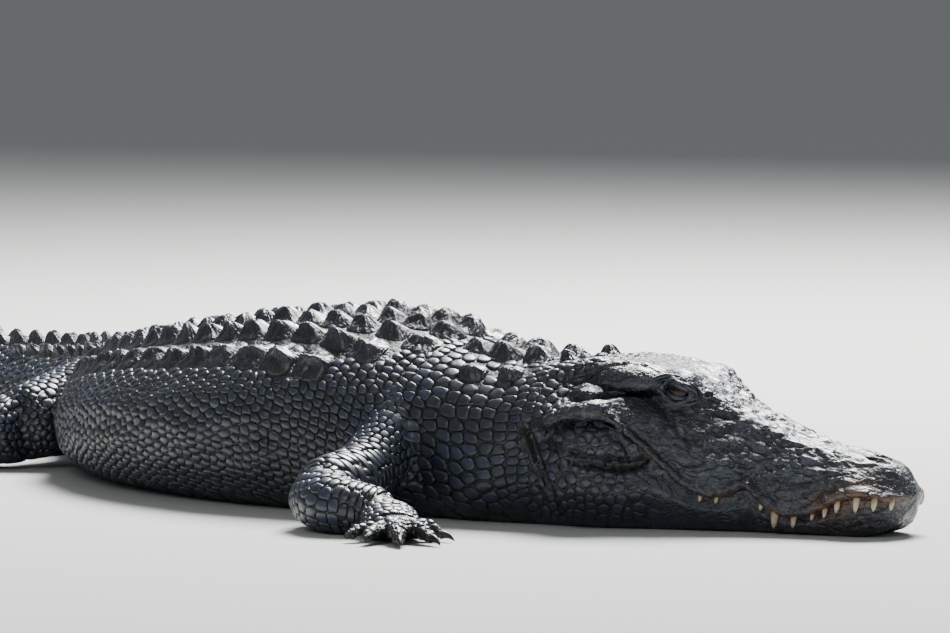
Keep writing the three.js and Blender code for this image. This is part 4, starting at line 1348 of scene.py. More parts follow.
def bare_area(points, triangles, uv, share):
    """Triangles to strew scales on: their corners, facings, bake map places and shares of full relief."""
    corners = points[triangles]
    facing = np.cross(corners[:, 1] - corners[:, 0], corners[:, 2] - corners[:, 0])
    facing /= np.maximum(np.linalg.norm(facing, axis=1, keepdims=True), 1e-9)
    return corners, facing, uv[triangles].mean(1), share


def relax(p, edges, weight, times):
    """Moves points towards the middle of their neighbours."""
    count = np.zeros(len(p))
    np.add.at(count, edges.ravel(), 1)
    active = weight[:, None] * 0.5
    for _ in range(times):
        total = np.zeros_like(p)
        for k in range(3):
            total[:, k] = np.bincount(edges[:, 0], p[edges[:, 1], k], len(p))
            total[:, k] += np.bincount(edges[:, 1], p[edges[:, 0], k], len(p))
        p = p + (total / np.maximum(count, 1)[:, None] - p) * active
    return p


def limb_muscle(p):
    """Soft unevenness of the legs' flesh."""
    return np.stack([noise(p, 60, 61 + k) * 1.6 for k in range(3)], -1) * (p[:, 2:] > 22)


def on_body(part):
    """The same coat with its bake map moved to the body's share of the unwrap."""
    points, tris, quads, uv, values = part
    return points, tris, quads, uv * BODY_MAP, values


def dorsal_edge(s):
    """Arc from the back's midline to just inside the outermost scutes' rim, where scales begin."""
    if COLUMN_COUNT[1][0] <= s < TRUNK_END:
        return (columns_at(s) + OUTER_SPREAD) * column_arc(s) - 2
    return 0.0


def belly_edge(s):
    """Arc from the back's midline to where the belly's plates begin."""
    return TRUNK.girth(s) * 0.66


# Spacing of the scales along the body and around it, by station.
flank_long = profile([
    (490, 13), (530, 18), (610, 19), (655, 13), (900, 13), (1300, 13.5), (1500, 15), (1700, 20), (2400, 23),
    (3400, 14),
])
flank_wide = profile([
    (490, 10), (530, 15), (610, 16), (655, 12), (900, 12), (1300, 12.5), (1500, 13), (1700, 14), (2400, 13),
    (3400, 6),
])
belly_long = profile([(500, 30), (1600, 32), (2600, 28), (3400, 16)])
belly_wide = profile([(500, 27), (1600, 30), (2600, 18), (3400, 7)])
FLANK_RELIEF = ([490, 560, 640, 700, 1600, 2400, 3400], [1.6, 2.2, 2.3, 2.4, 2.2, 1.8, 1.0])
BELLY_RELIEF = 1.3
NECK_END = 645.0


def build_body_scales():
    """Scales of neck, trunk and tail: (name, coat parts)."""
    coats = []
    for side, name in zip(SIDES, ("right", "left")):
        centres = scale_lattice(
            (486, LENGTH - 14), lambda s: (max(dorsal_edge(s), 0.5 * flank_wide(s)), belly_edge(s)),
            flank_long, flank_wide, 3 + side,
        )
        centres[:, 1] *= side
        neck = centres[:, 0] < NECK_END
        for label, own, shape in (("neck", neck, PLATE), ("body", ~neck, DOME)):
            part = lay_scales(
                TRUNK, centres[own], 12, lambda c: np.interp(c[:, 0], *FLANK_RELIEF), BODY_RAYS,
                ghosts=centres[~own], skip=under_scute, shape=shape,
            )
            coats.append((f"{label}_scales_{name}", on_body(part)))
    # The belly's larger, flatter plates.
    centres = scale_lattice(
        (500, LENGTH - 20), lambda s: (belly_edge(s), 2 * TRUNK.girth(s) - belly_edge(s)),
        belly_long, belly_wide, 9, 0.1,
    )
    wrap = centres[:, 1] > TRUNK.girth(centres[:, 0])
    centres[:, 1] = np.where(wrap, centres[:, 1] - 2 * TRUNK.girth(centres[:, 0]), centres[:, 1])
    part = lay_scales(TRUNK, centres, 10, lambda c: np.full(len(c), BELLY_RELIEF), BODY_RAYS)
    coats.append(("belly_scales", on_body(part)))
    return coats


def tube_scales(tube, size_a, size_b, relief, seed, stretch, share=1.0, shape=DOME):
    """Scales on a stretch of a limb segment, all round it or over the top share of it."""
    def limits(a):
        """Lowest and highest arc at a distance along the tube."""
        half = math.pi * float(tube.radius(np.array([a / tube.length]))[0]) * share
        return (-half, half)

    ends = (stretch[0] * tube.length, stretch[1] * tube.length)
    centres = scale_lattice(ends, limits, size_a, size_b, seed, 0.14)
    ghosts = None
    if share >= 1:
        turn = np.outer(2 * math.pi * tube.radius(centres[:, 0] / tube.length), [0, 1, 0, 0])
        ghosts = np.concatenate([centres + turn, centres - turn])
    return lay_scales(tube, centres, 12, lambda c: np.full(len(c), relief), LIMB_RAYS, ghosts, shape=shape)


def even(value):
    """The same spacing at every place."""
    return lambda a: value


def build_limb_scales(name):
    """Scales of one leg: broad plates down to the wrist or ankle, small ones on palm and toes."""
    tubes, toes = LIMBS[name]
    seed = 100 + 10 * list(LIMBS).index(name)
    upper, lower = tubes["upper"], tubes["lower"]
    reach = upper.length
    long = profile([(0, 12), (reach * 0.5, 10), (reach * 0.78, 12.5), (reach, 11)])
    widest = 33 if name.endswith("fore") else 18
    wide = profile([(0, 12), (reach * 0.45, 14), (reach * 0.7, widest), (reach, widest - 3)])
    parts = [tube_scales(upper, long, wide, 2.2, seed, (0.12, 1.0), shape=PLATE)]
    reach = lower.length
    long = profile([(0, 10), (reach * 0.35, 12), (reach * 0.7, 10), (reach, 8)])
    wide = profile([(0, 21), (reach * 0.45, 17), (reach * 0.8, 22), (reach, 26)])
    parts.append(tube_scales(lower, long, wide, 1.8, seed + 1, (0.05, 1.0), shape=PLATE))
    parts.append(tube_scales(tubes["palm"], even(9), even(12), 1.4, seed + 2, (0.1, 0.98), 0.8))
    for k, (toe, _, _, radius, _) in enumerate(toes):
        wide = even(radius * 1.5)
        parts.append(tube_scales(toe, even(7.5), wide, 1.3, seed + 3 + k, (0.12, 0.99), 0.72, PLATE))
    return join_coat(parts)


# Teeth by (station, length) along the upper jaw.
TEETH = [
    (14, 12), (31, 15), (52, 19), (77, 14), (95, 12), (113, 9), (136, 15), (160, 22), (178, 10),
    (236, 8), (256, 9),
]


def build_teeth():
    """Curved conical teeth hanging from under the upper lip."""
    points, faces, tone = [], [], []
    start = 0
    rings, ways = 9, 12
    for station, length in TEETH:
        for side in SIDES:
            radius = 1.7 + length * 0.17
            inset = lip_half(station) - 6.0
            top = mouth_z(station) + length * 0.45
            t = np.linspace(0, 1, rings)
            r = radius * np.sqrt(np.clip(1 - t ** 2.1, 0.004, 1))
            angle = np.arange(ways) / ways * 2 * math.pi
            s = station + (r[:, None] * np.cos(angle)) + (t ** 2 * 2.2)[:, None]
            right = inset + r[:, None] * np.sin(angle) + (np.sin(t * 2.6) * 1.6)[:, None]
            z = np.broadcast_to((top - t * length * 1.3)[:, None], s.shape)
            local = np.stack([s, side * right, z], -1).reshape(-1, 3)
            points.append(place(local))
            f = grid_faces(rings, ways, start=start, flip=side > 0)
            faces += [tuple(q) for q in f]
            last = start + (rings - 1) * ways
            cap = tuple(range(last, last + ways))
            faces += [cap if side < 0 else cap[::-1]]
            tone.append(np.repeat(t, ways))
            start += rings * ways
    return np.concatenate(points), faces, {"tone": np.concatenate(tone)}


def build_claws():
    """Curved, pointed claws whose tips come down close to the ground."""
    points, faces = [], []
    start = 0
    rings, ways = 10, 12
    for name, (_, toes) in LIMBS.items():
        for _, way, tip, radius, claw in toes:
            if not claw:
                continue
            t = np.linspace(0, 1, rings)
            r = radius * 0.5 * (1 - t) ** 0.6 + 0.35
            across = np.array([-way[1], way[0], 0])
            angle = np.arange(ways) / ways * 2 * math.pi
            line = tip[None] - way * 3 + way * (t * (claw + 2))[:, None]
            line[:, 2] = 8.4 + np.sin(t * 2.2) * 2.2 - t ** 2 * 8.6
            ring_points = line[:, None, :] + across * (r[:, None] * 0.8 * np.cos(angle))[..., None]
            ring_points[..., 2] += r[:, None] * np.sin(angle)
            ring_points[..., 2] = np.maximum(ring_points[..., 2], 0.1)
            points.append(ring_points.reshape(-1, 3))
            faces += [tuple(q) for q in grid_faces(rings, ways, start=start)]
            faces.append(tuple(range(start, start + ways)))
            last = start + (rings - 1) * ways
            faces.append(tuple(range(last, last + ways))[::-1])
            start += rings * ways
    return np.concatenate(points), faces


def eye_frame(side):
    """Centre of the eyeball and its outward, forward and upward directions."""
    centre = place(np.array([EYE["station"], side * (EYE["side"] - 1.5), EYE["z"]]))
    ends = [place(np.array([EYE["station"] + step, side * EYE["side"], EYE["z"]])) for step in (-5, 5)]
    ahead = ends[0] - ends[1]
    ahead /= np.linalg.norm(ahead)
    up = np.array([0, 0, 1.0])
    out = np.cross(up, ahead) * -side
    return centre, out, ahead, up


def build_eye(side):
    """An eyeball with a bulging front; iris and slit say how far out of each a point lies, 1 on its edge."""
    centre, out, ahead, up = eye_frame(side)
    radius = EYE["radius"] - 2.5
    rings, ways = 40, 64
    theta = np.linspace(0.02, math.pi - 0.02, rings)
    phi = np.arange(ways) / ways * 2 * math.pi
    x = np.broadcast_to(np.cos(theta)[:, None], (rings, ways))
    y = np.sin(theta)[:, None] * np.cos(phi)
    z = np.sin(theta)[:, None] * np.sin(phi)
    bulge = 1 + 0.045 * smooth(np.cos(theta), 0.72, 0.95)
    x = x * bulge[:, None]
    p = centre + radius * (x[..., None] * out + y[..., None] * ahead + z[..., None] * up)
    faces = [tuple(q) for q in grid_faces(rings, ways, flip=side > 0)]
    cap, end = tuple(range(ways)), tuple(range((rings - 1) * ways, rings * ways))
    faces += [cap, end[::-1]] if side > 0 else [cap[::-1], end]
    iris = np.hypot(y, z).ravel() / 0.62
    slit = np.abs(y.ravel()) / np.maximum(0.1 * np.sqrt(np.clip(1 - (z.ravel() / 0.5) ** 2, 0.02, 1)), 1e-3)
    front = x.ravel() > 0
    values = {"iris": np.where(front, iris, 3.0), "slit": np.where(front, slit, 9.0)}
    return p.reshape(-1, 3), faces, values


# Rims round the eye from the inner one outwards, as (half length, half height, thickness).
LID_RIMS = ((18.5, 10.0, 2.9), (24.5, 15.0, 2.6), (30, 19.5, 2.1))


def build_lids():
    """Thick folded rims round both eyes, the upper one heavier."""
    parts_points, parts_faces, rise = [], [], []
    start = 0
    ways, around = 12, 72
    angle = np.arange(around) / around * 2 * math.pi
    phi = np.arange(ways) / ways * 2 * math.pi
    u, v = np.cos(angle), np.sin(angle)
    corner = np.abs(u)
    r, c = np.arange(around)[:, None], np.arange(ways)[None, :]
    after_r, after_c = (r + 1) % around, (c + 1) % ways
    a, b = r * ways + c, r * ways + after_c
    d, e = after_r * ways + c, after_r * ways + after_c
    quads = np.stack([a, d, e, b], -1).reshape(-1, 4)
    for side in SIDES:
        centre, out, ahead, up = eye_frame(side)
        for layer, (long, high, thick) in enumerate(LID_RIMS):
            x = long * u
            z = high * v * (0.78 + 0.22 * (1 - corner)) * np.where(v > 0, 1.0, 0.86)
            height = z - x * EYE_LEAN
            spot = centre + ahead * x[:, None] + up * height[:, None]
            hits, depth = cast(spot, np.repeat(out[None], around, 0), *LID_RAYS)
            depth = np.where(np.isnan(depth), 15, depth)
            if layer == 0:
                # The rim stands on the ball where the hide is sunk for the opening.
                ball = np.sqrt(np.clip((EYE["radius"] - 2) ** 2 - x ** 2 - height ** 2, 0, None))
                depth = np.clip(depth, ball - 0.5, ball + 1.5)
            for _ in range(6):
                depth = (np.roll(depth, 1) + np.roll(depth, -1) + depth) / 3
            line = spot + out * depth[:, None]
            tangent = np.roll(line, -1, 0) - np.roll(line, 1, 0)
            tangent /= np.linalg.norm(tangent, axis=1, keepdims=True)
            outward = np.cross(tangent, out)
            outward /= np.linalg.norm(outward, axis=1, keepdims=True)
            face_out = np.cross(outward, tangent)
            size = thick * (1 + 0.6 * np.clip(v, 0, 1)) * (0.6 + 0.4 * (1 - corner ** 6))
            if layer:
                # The outer rims die away on parts of their way round.
                size = size * (0.25 + 0.75 * smooth(np.sin(angle * 2 + (1.1, 2.3)[layer - 1]), -0.6, 0.5))
            beads = 1 + 0.1 * np.sin(angle * 19 + layer) * (layer > 0)
            rim = line[:, None, :] + outward[:, None, :] * (size[:, None] * np.cos(phi) * 1.25)[..., None]
            rim = rim + face_out[:, None, :] * (size[:, None] * beads[:, None] * np.sin(phi))[..., None]
            parts_points.append(rim.reshape(-1, 3))
            parts_faces += (quads + start).tolist()
            # Rise is 0 along each roll's inner and outer edges, where it meets its neighbours; the material
            # paints those edges black as shade.
            rise.append(np.tile(np.abs(np.sin(phi)), around))
            start += around * ways
    values = {"rise": np.concatenate(rise), "tone": np.full(start, 0.4)}
    return np.concatenate(parts_points), parts_faces, values


# Materials.
# Kinds of node as (type, settings, sockets in the order in which they are filled, output).
KINDS = {
    "place": ("ShaderNodeTexCoord", {}, (), "Object"),
    "value": ("ShaderNodeAttribute", {}, (), "Fac"),
    "turned": ("ShaderNodeMapping", {"vector_type": "TEXTURE"}, ("Vector", "Rotation", "Scale"), "Vector"),
    "noise": ("ShaderNodeTexNoise", {}, ("Vector", "Scale", "Detail", "Roughness"), "Fac"),
    "ramp": (
        "ShaderNodeMapRange", {"interpolation_type": "SMOOTHSTEP"},
        ("Value", "From Min", "From Max", "To Min", "To Max"), "Result",
    ),
    "maths": ("ShaderNodeMath", {}, (0, 1), 0),
    "mix": ("ShaderNodeMix", {"data_type": "RGBA"}, (0, 6, 7), 2),
    "bump": ("ShaderNodeBump", {}, ("Height", "Strength", "Distance", "Normal"), "Normal"),
}
GRAIN = 0.6  # how much the finer octaves of most patterns weigh
HEAD_HEADING = 31.0  # degrees from the object's X axis to the way that the head faces


def fill(made, inputs):
    """Fills a node's sockets by key: an output is linked, a hex colour or a constant is set."""
    for key, value in inputs.items():
        if isinstance(value, bpy.types.NodeSocket):
            made.id_data.links.new(value, made.inputs[key])
        else:
            made.inputs[key].default_value = linear(value) if isinstance(value, str) else value


def node(tree, kind, *inputs, **settings):
    """Adds a node of one of the KINDS with its settings and inputs, and returns its output."""
    type_name, common, sockets, output = KINDS[kind]
    made = tree.nodes.new(type_name)
    for key, value in {**common, **settings}.items():
        setattr(made, key, value)
    fill(made, dict(zip(sockets, inputs)))
    return made.outputs[output]


def new_material(name):
    """An empty material, its shader, the call that adds its nodes, and the colours in use."""
    material = bpy.data.materials.new(name)
    material.use_nodes = True
    tree = material.node_tree
    tree.nodes.clear()
    shader = tree.nodes.new("ShaderNodeBsdfPrincipled")
    output = tree.nodes.new("ShaderNodeOutputMaterial")
    tree.links.new(shader.outputs["BSDF"], output.inputs["Surface"])
    return material, shader, partial(node, tree), bpy.context.scene.alligator_looks


def per_metre(size_mm):
    """Scale of a pattern in object space whose coarsest features are size_mm across."""
    return 1000.0 / size_mm


def wrinkles(add, where, size_mm, stretch):
    """0 in creases and 1 between them, drawn out along the head."""
    along = add("turned", where, (0, 0, math.radians(HEAD_HEADING)), (stretch, 1, 1))
    middle = add("maths", add("noise", along, per_metre(size_mm), 3.0, 0.5), 0.5, operation="SUBTRACT")
    return add("ramp", add("maths", middle, operation="ABSOLUTE"), 0.0, 0.07)


def relief(add, *layers):
    """The normal of layers of (height, strength, millimetres), each laid on the one before."""
    below = ()
    for height, strength, depth in layers:
        below = (add("bump", height, strength, depth * MM, *below),)
    return below[0]


def wet_hide():
    """Thick oily hide, still damp: near-black blue painted shade in the creases and between the scales, slate
    on rubbed tops, sky-bright sheen.
    """
    material, shader, add, look = new_material("wet_hide")
    where = add("place")
    # Painted shade in the folds, cracks and mouth's slit, read from the hide's point values.
    painted_shade = add("ramp", add("value", attribute_name="painted_shade"), 0.1, 0.75)
    patchy = add("ramp", add("noise", where, per_metre(60), 5.0, GRAIN), 0.38, 0.62)
    fine = add("ramp", add("noise", where, per_metre(7), 5.0, GRAIN), 0.35, 0.7, 0.0, 0.45)
    # Painted shade: the hide of neck, body and tail, between the scales, is painted near-black.
    shade_between_scales = add("ramp", add("value", attribute_name="zone"), 0.0, 1.0, 0.9, 0.0)
    stain = add("maths", add("value", attribute_name="stain"), 0.85, operation="MULTIPLY")
    coarse, close = wrinkles(add, where, 17, 2.2), wrinkles(add, where, 8, 1.8)
    skin = add("mix", patchy, look.hide, look.hide_light)
    skin = add("mix", fine, skin, look.hide_dark)
    # Painted shade between the scales, then in the folds and cracks, then in the coarse wrinkles.
    skin = add("mix", shade_between_scales, skin, look.painted_shade)
    skin = add("mix", add("maths", painted_shade, 0.85, operation="MULTIPLY"), skin, look.painted_shade)
    # Painted shade in the coarse wrinkles' troughs.
    skin = add("mix", add("ramp", coarse, 0.0, 0.6, 0.7, 0.0), skin, look.painted_shade)
    skin = add("mix", stain, skin, look.stain)
    grit = add("noise", where, per_metre(9), 5.0, 0.65)
    pits = add("ramp", add("noise", where, per_metre(3.2), 3.0, GRAIN), 0.3, 0.55)
    fill(shader, {
        "Base Color": skin,
        "Roughness": add("ramp", add("noise", where, per_metre(22), 4.0, GRAIN), 0.3, 0.7, 0.26, 0.46),
        "Specular IOR Level": 0.6,
        "Coat Weight": 0.25,
        "Coat Roughness": 0.22,
        "Normal": relief(add, (coarse, 0.7, 1.8), (close, 0.6, 0.9), (grit, 0.5, 1.6), (pits, 0.3, 0.5)),
    })
    return material


def scale_keratin():
    """Horny scales with a waxy, damp polish: slate tops fading to black painted shade where they sink into
    the grooves.
    """
    material, shader, add, look = new_material("scale_keratin")
    where = add("place")
    # Rise is 0 at a scale's sunken rim and 1 on its top; the colour fades to black painted shade towards the
    # rim.
    rise = add("ramp", add("value", attribute_name="rise"), 0.15, 0.95)
    patchy = add("ramp", add("noise", where, per_metre(140), 4.0, GRAIN), 0.4, 0.62)
    pores = add("ramp", add("noise", where, per_metre(5), 4.0, GRAIN), 0.45, 0.75, 0.0, 0.4)
    top = add("mix", add("value", attribute_name="tone"), look.scale, look.scale_light)
    top = add("mix", patchy, top, look.hide)
    top = add("mix", pores, top, look.hide_dark)
    fill(shader, {
        # Painted shade towards the rim, the scale's own colour on its top.
        "Base Color": add("mix", rise, look.painted_shade, top),
        "Roughness": add("ramp", add("noise", where, per_metre(16), 4.0, GRAIN), 0.3, 0.7, 0.28, 0.5),
        "Specular IOR Level": 0.6,
        "Coat Weight": 0.2,
        "Coat Roughness": 0.25,
        "Normal": relief(add, (add("noise", where, per_metre(6), 4.0, GRAIN), 0.4, 0.9)),
    })
    return material


def scute_keratin():
    """Bony back plates under worn horn: drier and greyer on the keels, dark in the pits, with painted shade
    in the rays' troughs and at the foot.
    """
    material, shader, add, look = new_material("scute_keratin")
    where = add("place")
    rise = add("value", attribute_name="rise")
    mottle = add("ramp", add("noise", where, per_metre(8), 5.0, GRAIN), 0.5, 0.72, 0.0, 0.6)
    # Ribs that run down the keel's flanks and fan out towards the plate's rim.
    fore = add("maths", add("value", attribute_name="fore"), 0.5, operation="MULTIPLY")
    around = add("maths", add("value", attribute_name="beside"), fore, operation="ARCTAN2")
    swing = add("maths", add("noise", where, per_metre(16), 4.0, GRAIN), 16.0, operation="MULTIPLY")
    turns = add("maths", add("maths", around, 17.0, operation="MULTIPLY"), swing, operation="ADD")
    ribs = add("maths", turns, operation="SINE")
    plate = add("mix", add("value", attribute_name="tone"), look.hide_dark, look.hide)
    plate = add("mix", add("ramp", rise, 0.7, 1.0, 0.0, 0.4), plate, look.horn_light)
    plate = add("mix", mottle, plate, look.hide_dark)
    # Painted shade in the troughs between the ribs.
    plate = add("mix", add("ramp", ribs, -0.2, -1.0, 0.0, 0.4), plate, look.hide_dark)
    grit = add("noise", where, per_metre(9), 5.0, 0.7)
    pits = add("ramp", add("noise", where, per_metre(4.5), 3.0, GRAIN), 0.34, 0.5)
    fill(shader, {
        # Black painted shade where the plate sinks into the hide, the plate's colour above.
        "Base Color": add("mix", add("ramp", rise, 0.0, 0.12), look.painted_shade, plate),
        "Roughness": add("ramp", add("noise", where, per_metre(14), 4.0, GRAIN), 0.3, 0.7, 0.2, 0.42),
        "Specular IOR Level": 0.65,
        "Coat Weight": 0.35,
        "Coat Roughness": 0.16,
        "Normal": relief(add, (ribs, 0.3, 0.7), (grit, 0.6, 1.5), (pits, 0.5, 0.7)),
    })
    return material


def claw_horn():
    """Smooth dark horn with a worn polish."""
    material, shader, add, look = new_material("claw_horn")
    where = add("place")
    grain = add("ramp", add("noise", where, per_metre(5), 3.0, GRAIN), 0.4, 0.65)
    fill(shader, {
        "Base Color": add("mix", grain, look.claw, look.hide_dark),
        "Roughness": 0.3,
        "Normal": relief(add, (add("noise", where, per_metre(3), 3.0, GRAIN), 0.3, 0.3)),
    })
    return material


def tooth_enamel():
    """Old ivory enamel: off-white and glossy at the points, tea-brown at the gums."""
    material, shader, add, look = new_material("tooth_enamel")
    where = add("place")
    down = add("ramp", add("value", attribute_name="tone"), 0.1, 0.8)
    blotches = add("ramp", add("noise", where, per_metre(6), 4.0, GRAIN), 0.35, 0.7)
    stained = add("mix", blotches, look.tooth_root, look.tooth)
    fill(shader, {
        "Base Color": add("mix", down, look.tooth_root, add("mix", 0.6, stained, look.tooth)),
        "Roughness": 0.25,
        "Subsurface Weight": 0.15,
        "Subsurface Scale": 2 * MM,
        "Normal": relief(add, (add("noise", where, per_metre(2), 3.0, GRAIN), 0.2, 0.2)),
    })
    return material


def eye_glass():
    """A wet, glassy dark-brown eye with a slit pupil."""
    material, shader, add, look = new_material("eye_glass")
    streaks = add("ramp", add("noise", add("place"), per_metre(2.5), 4.0, GRAIN), 0.35, 0.7)
    outside = add("ramp", add("value", attribute_name="iris"), 0.85, 1.05)
    past_slit = add("ramp", add("value", attribute_name="slit"), 0.8, 1.15)
    ball = add("mix", outside, add("mix", streaks, look.iris, look.iris_light), look.pupil)
    fill(shader, {
        "Base Color": add("mix", past_slit, look.pupil, ball),
        "Roughness": 0.12,
        "Specular IOR Level": 0.22,
        "Coat Weight": 0.12,
        "Coat Roughness": 0.02,
    })
    return material


def floor_paint():
    """Matte pale studio floor paint, so that only the animal's own shadow reads on it."""
    material, shader, _, look = new_material("floor_paint")
    fill(shader, {"Base Color": look.floor, "Roughness": 0.9})
    return material


# Settings shown in the sidebar.
def colour_property(name, description, default):
    """A colour that a user can change, as a hex string."""
    return StringProperty(name=name, description=description, default=default)


class AlligatorLooks(bpy.types.PropertyGroup):
    """Colours as sRGB hex strings."""
    hide: colour_property("Hide", "Damp blue-black hide", "#1E232D")
    hide_light: colour_property("Light hide", "Rubbed patches of the hide", "#363D4B")
    hide_dark: colour_property("Dark hide", "Mottling and pores", "#0C0E13")
    # Painted shade: near-black laid in the hide's creases, cracks and wrinkles, on the hide between the
    # scales, and round the sunken rims of scales, plates and lid rolls.
    painted_shade: colour_property("Crease", "Bottom of folds and grooves", "#050607")
    scale: colour_property("Scale", "Darker scale tops", "#191F2B")
    scale_light: colour_property("Light scale", "Lighter scale tops", "#2C3549")
    horn_light: colour_property("Worn horn", "Keels rubbed pale", "#474E5B")
    stain: colour_property("Stain", "Ochre silt stain along the lips", "#5C3E2B")
    claw: colour_property("Claw", "Horn of the claws", "#2A2622")
    tooth: colour_property("Tooth", "Points of the teeth", "#CFC8B6")
    tooth_root: colour_property("Tooth root", "Teeth near the gum", "#8A6F48")
    iris: colour_property("Iris", "Dark part of the iris", "#1C120A")
    iris_light: colour_property("Light iris", "Streaks of the iris", "#33210F")
    pupil: colour_property("Pupil", "Slit pupil and the ball's edge", "#060505")
    floor: colour_property("Floor", "Studio floor", "#BFC0BC")


class AlligatorView(bpy.types.PropertyGroup):
    """Where the camera and the lights stand."""
    azimuth: FloatProperty(name="Azimuth", description="Camera's bearing, 0 looks along +Y", default=58.0)
    elevation: FloatProperty(name="Elevation", description="Camera's height angle in degrees", default=5.5)
    distance: FloatProperty(
        name="Distance", description="Camera to snout tip", default=8.5, unit="LENGTH", subtype="DISTANCE"
    )
    lens: FloatProperty(name="Lens", description="Focal length in mm on a 36 mm sensor", default=257.7)
    key: FloatProperty(name="Key light", description="Power of the high light", default=1600.0, unit="POWER")
    fill: FloatProperty(name="Fill light", description="Power of the soft light", default=60.0, unit="POWER")
    sky: FloatProperty(name="Sky", description="Strength of the even sky light", default=0.33)


def as_flesh(obj):
    """Rides a piece on the animal."""
    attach(obj, "root")
    return obj


FLOOR_HALF, FLOOR_Z = 60000.0, -0.5
SENSOR = 36.0  # width of the camera's sensor in mm
SNOUT_HEIGHT = 55.0
SNOUT_OFFSET = (443 / 950, 173.5 / 950)  # snout tip from the picture's middle, right and down, in its widths
SKY_COLOUR = "#DDE3EA"


class ALLIGATOR_OT_hide(bpy.types.Operator):
    """Unbroken skin of head, body, legs and tail"""
    bl_idname = "alligator.hide"
    bl_label = "Hide"

    def execute(self, context):
        hide = build_hide()
        hide.data.materials.clear()
        hide.data.materials.append(wet_hide())
        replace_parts(as_flesh(hide), *FLESH_NODES)
        return {"FINISHED"}


class ALLIGATOR_OT_scales(bpy.types.Operator):
    """Horny scales of neck, trunk, tail and legs"""
    bl_idname = "alligator.scales"
    bl_label = "Scales"

    def execute(self, context):
        keratin = state["scale_keratin"] = scale_keratin()
        for name, (points, tris, quads, uv, values) in build_body_scales():
            faces = tris.tolist() + quads.tolist()
            as_flesh(mesh_object(name, points, faces, keratin, uv, values))
        for name in LEGS:
            points, faces, uv, values = build_limb_scales(name)
            as_flesh(mesh_object(f"{name}_scales", points, faces, keratin, uv, values))
        strewn = (
            ("joint_scales", strew_scales(state["legs"], 11.0, 2.4, 77, 0.66), "limb_hide"),
            ("jowl_scales", strew_scales(state["jowls"], 13.0, 1.9, 78, 0.85, JOWL_PLATE), "head_hide"),
        )
        for name, (points, tris, quads, uv, values), slot in strewn:
            faces = tris.tolist() + quads.tolist()
            as_flesh(mesh_object(name, points, faces, keratin, uv, values))
        return {"FINISHED"}


class ALLIGATOR_OT_scutes(bpy.types.Operator):
    """Keeled bony plates of nape, back and tail"""
    bl_idname = "alligator.scutes"
    bl_label = "Scutes"

    def execute(self, context):
        keratin = scute_keratin()
        for name, kinds in (("back_scutes", ("dorsal", "nuchal", "side")), ("tail_crest", ("crest",))):
            points, tris, quads, uv, values = on_body(lay_scutes(kinds, SCUTES))
            faces = tris.tolist() + quads.tolist()
            as_flesh(mesh_object(name, points, faces, keratin, uv, values))
        return {"FINISHED"}


class ALLIGATOR_OT_eyes(bpy.types.Operator):
    """Glassy eyes and their folded lids"""
    bl_idname = "alligator.eyes"
    bl_label = "Eyes and lids"

    def execute(self, context):
        glass = eye_glass()
        for side, node_name in zip(SIDES, ("right_eye", "left_eye")):
            points, faces, values = build_eye(side)
            ball = mesh_object(f"{node_name}_ball", points, faces, glass, None, values)
            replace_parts(as_flesh(ball), node_name)
        points, faces, values = build_lids()
        as_flesh(mesh_object("eyelids", points, faces, state["scale_keratin"], None, values))
        return {"FINISHED"}


class ALLIGATOR_OT_teeth(bpy.types.Operator):
    """Teeth that show outside the closed jaws"""
    bl_idname = "alligator.teeth"
    bl_label = "Teeth"

    def execute(self, context):
        points, faces, values = build_teeth()
        as_flesh(mesh_object("teeth", points, faces, tooth_enamel(), None, values))
        return {"FINISHED"}


class ALLIGATOR_OT_claws(bpy.types.Operator):
    """Curved claws of the inner toes"""
    bl_idname = "alligator.claws"
    bl_label = "Claws"

    def execute(self, context):
        points, faces = build_claws()
        as_flesh(mesh_object("claws", points, faces, claw_horn()))
        return {"FINISHED"}


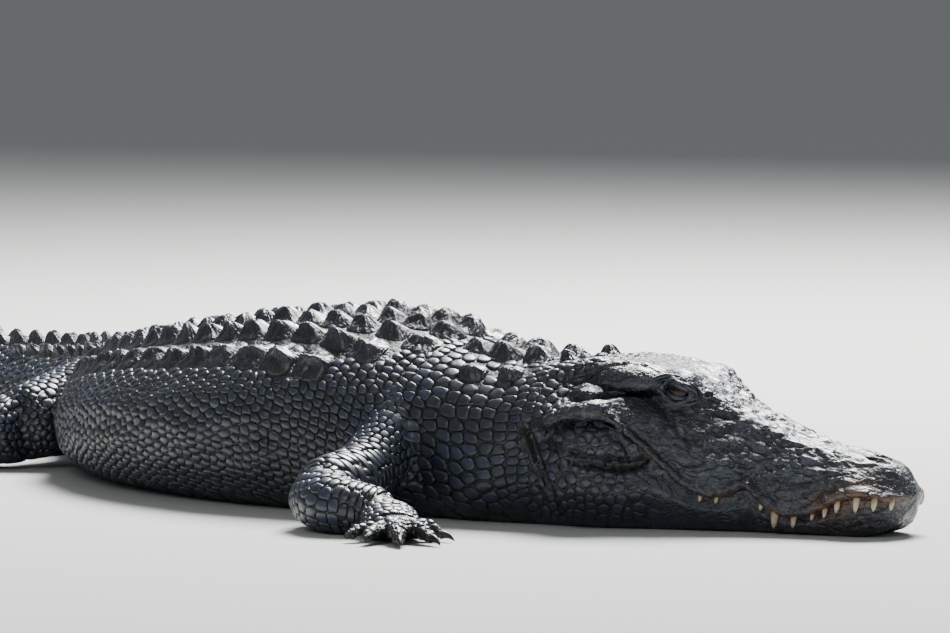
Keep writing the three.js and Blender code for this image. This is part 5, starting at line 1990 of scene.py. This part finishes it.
class ALLIGATOR_OT_stage(bpy.types.Operator):
    """Floor, lights, sky and camera"""
    bl_idname = "alligator.stage"
    bl_label = "Stage"

    def execute(self, context):
        settings = context.scene.alligator_view
        corners = [(x * FLOOR_HALF, y * FLOOR_HALF, FLOOR_Z) for x, y in ((-1, -1), (1, -1), (1, 1), (-1, 1))]
        floor = mesh_object("floor", corners, [(0, 1, 2, 3)], floor_paint(), rounded=False)
        azimuth, elevation = math.radians(settings.azimuth), math.radians(settings.elevation)
        flat = math.cos(elevation)
        view = Vector((-math.sin(azimuth) * flat, math.cos(azimuth) * flat, -math.sin(elevation)))
        right = Vector((math.cos(azimuth), math.sin(azimuth), 0))
        up = right.cross(view)
        snout = Vector(place(np.array([0.0, 0.0, SNOUT_HEIGHT])) * MM)
        camera_data = bpy.data.cameras.new("camera")
        camera_data.lens = settings.lens
        camera_data.sensor_width = SENSOR
        camera_data.clip_end = 200.0
        camera = bpy.data.objects.new("camera", camera_data)
        context.scene.collection.objects.link(camera)
        camera.location = snout - view * settings.distance
        # The snout tip stands right of the picture's middle and below it.
        focal = settings.lens / SENSOR
        aim = view + right * (-SNOUT_OFFSET[0] / focal) + up * (SNOUT_OFFSET[1] / focal)
        camera.rotation_euler = aim.to_track_quat("-Z", "Y").to_euler()
        context.scene.camera = camera
        for name, power, size, spot, target in (
            ("key", settings.key, 2.6, (-2.0, 2.6, 4.6), (0.3, 0.0, 0.1)),
            ("fill", settings.fill, 2.4, (3.6, -4.2, 4.4), (0.4, 0.0, 0.1)),
        ):
            lamp_data = bpy.data.lights.new(name, "AREA")
            lamp_data.energy = power
            lamp_data.size = size
            lamp = bpy.data.objects.new(name, lamp_data)
            lamp.location = spot
            lamp.rotation_euler = (Vector(target) - lamp.location).to_track_quat("-Z", "Y").to_euler()
            context.scene.collection.objects.link(lamp)
        world = bpy.data.worlds.new("sky")
        world.use_nodes = True
        background = world.node_tree.nodes["Background"]
        background.inputs["Color"].default_value = linear(SKY_COLOUR)
        background.inputs["Strength"].default_value = settings.sky
        context.scene.world = world
        return {"FINISHED"}


PIECES = (
    ALLIGATOR_OT_hide, ALLIGATOR_OT_scutes, ALLIGATOR_OT_scales, ALLIGATOR_OT_eyes, ALLIGATOR_OT_teeth,
    ALLIGATOR_OT_claws, ALLIGATOR_OT_stage,
)


class ALLIGATOR_PT_sidebar(bpy.types.Panel):
    """Lists the alligator's pieces and settings"""
    bl_label = "Alligator"
    bl_idname = "ALLIGATOR_PT_sidebar"
    bl_space_type = "VIEW_3D"
    bl_region_type = "UI"
    bl_category = "Alligator"

    def draw(self, context):
        for piece in PIECES:
            self.layout.operator(piece.bl_idname)
        for group in (context.scene.alligator_view, context.scene.alligator_looks):
            box = self.layout.box()
            for key in group.__annotations__:
                box.prop(group, key)


CLASSES = (AlligatorLooks, AlligatorView) + PIECES + (ALLIGATOR_PT_sidebar,)


def register():
    """Registers the classes and puts their settings on the scene."""
    for one in CLASSES:
        bpy.utils.register_class(one)
    bpy.types.Scene.alligator_looks = PointerProperty(type=AlligatorLooks)
    bpy.types.Scene.alligator_view = PointerProperty(type=AlligatorView)


def unregister():
    """Takes back what register adds."""
    del bpy.types.Scene.alligator_view
    del bpy.types.Scene.alligator_looks
    for one in reversed(CLASSES):
        bpy.utils.unregister_class(one)


def main():
    """Builds every piece."""
    register()
    for piece in PIECES:
        group, name = piece.bl_idname.split(".")
        getattr(getattr(bpy.ops, group), name)()
    bpy.context.view_layer.update()


if __name__ == "__main__":
    main()
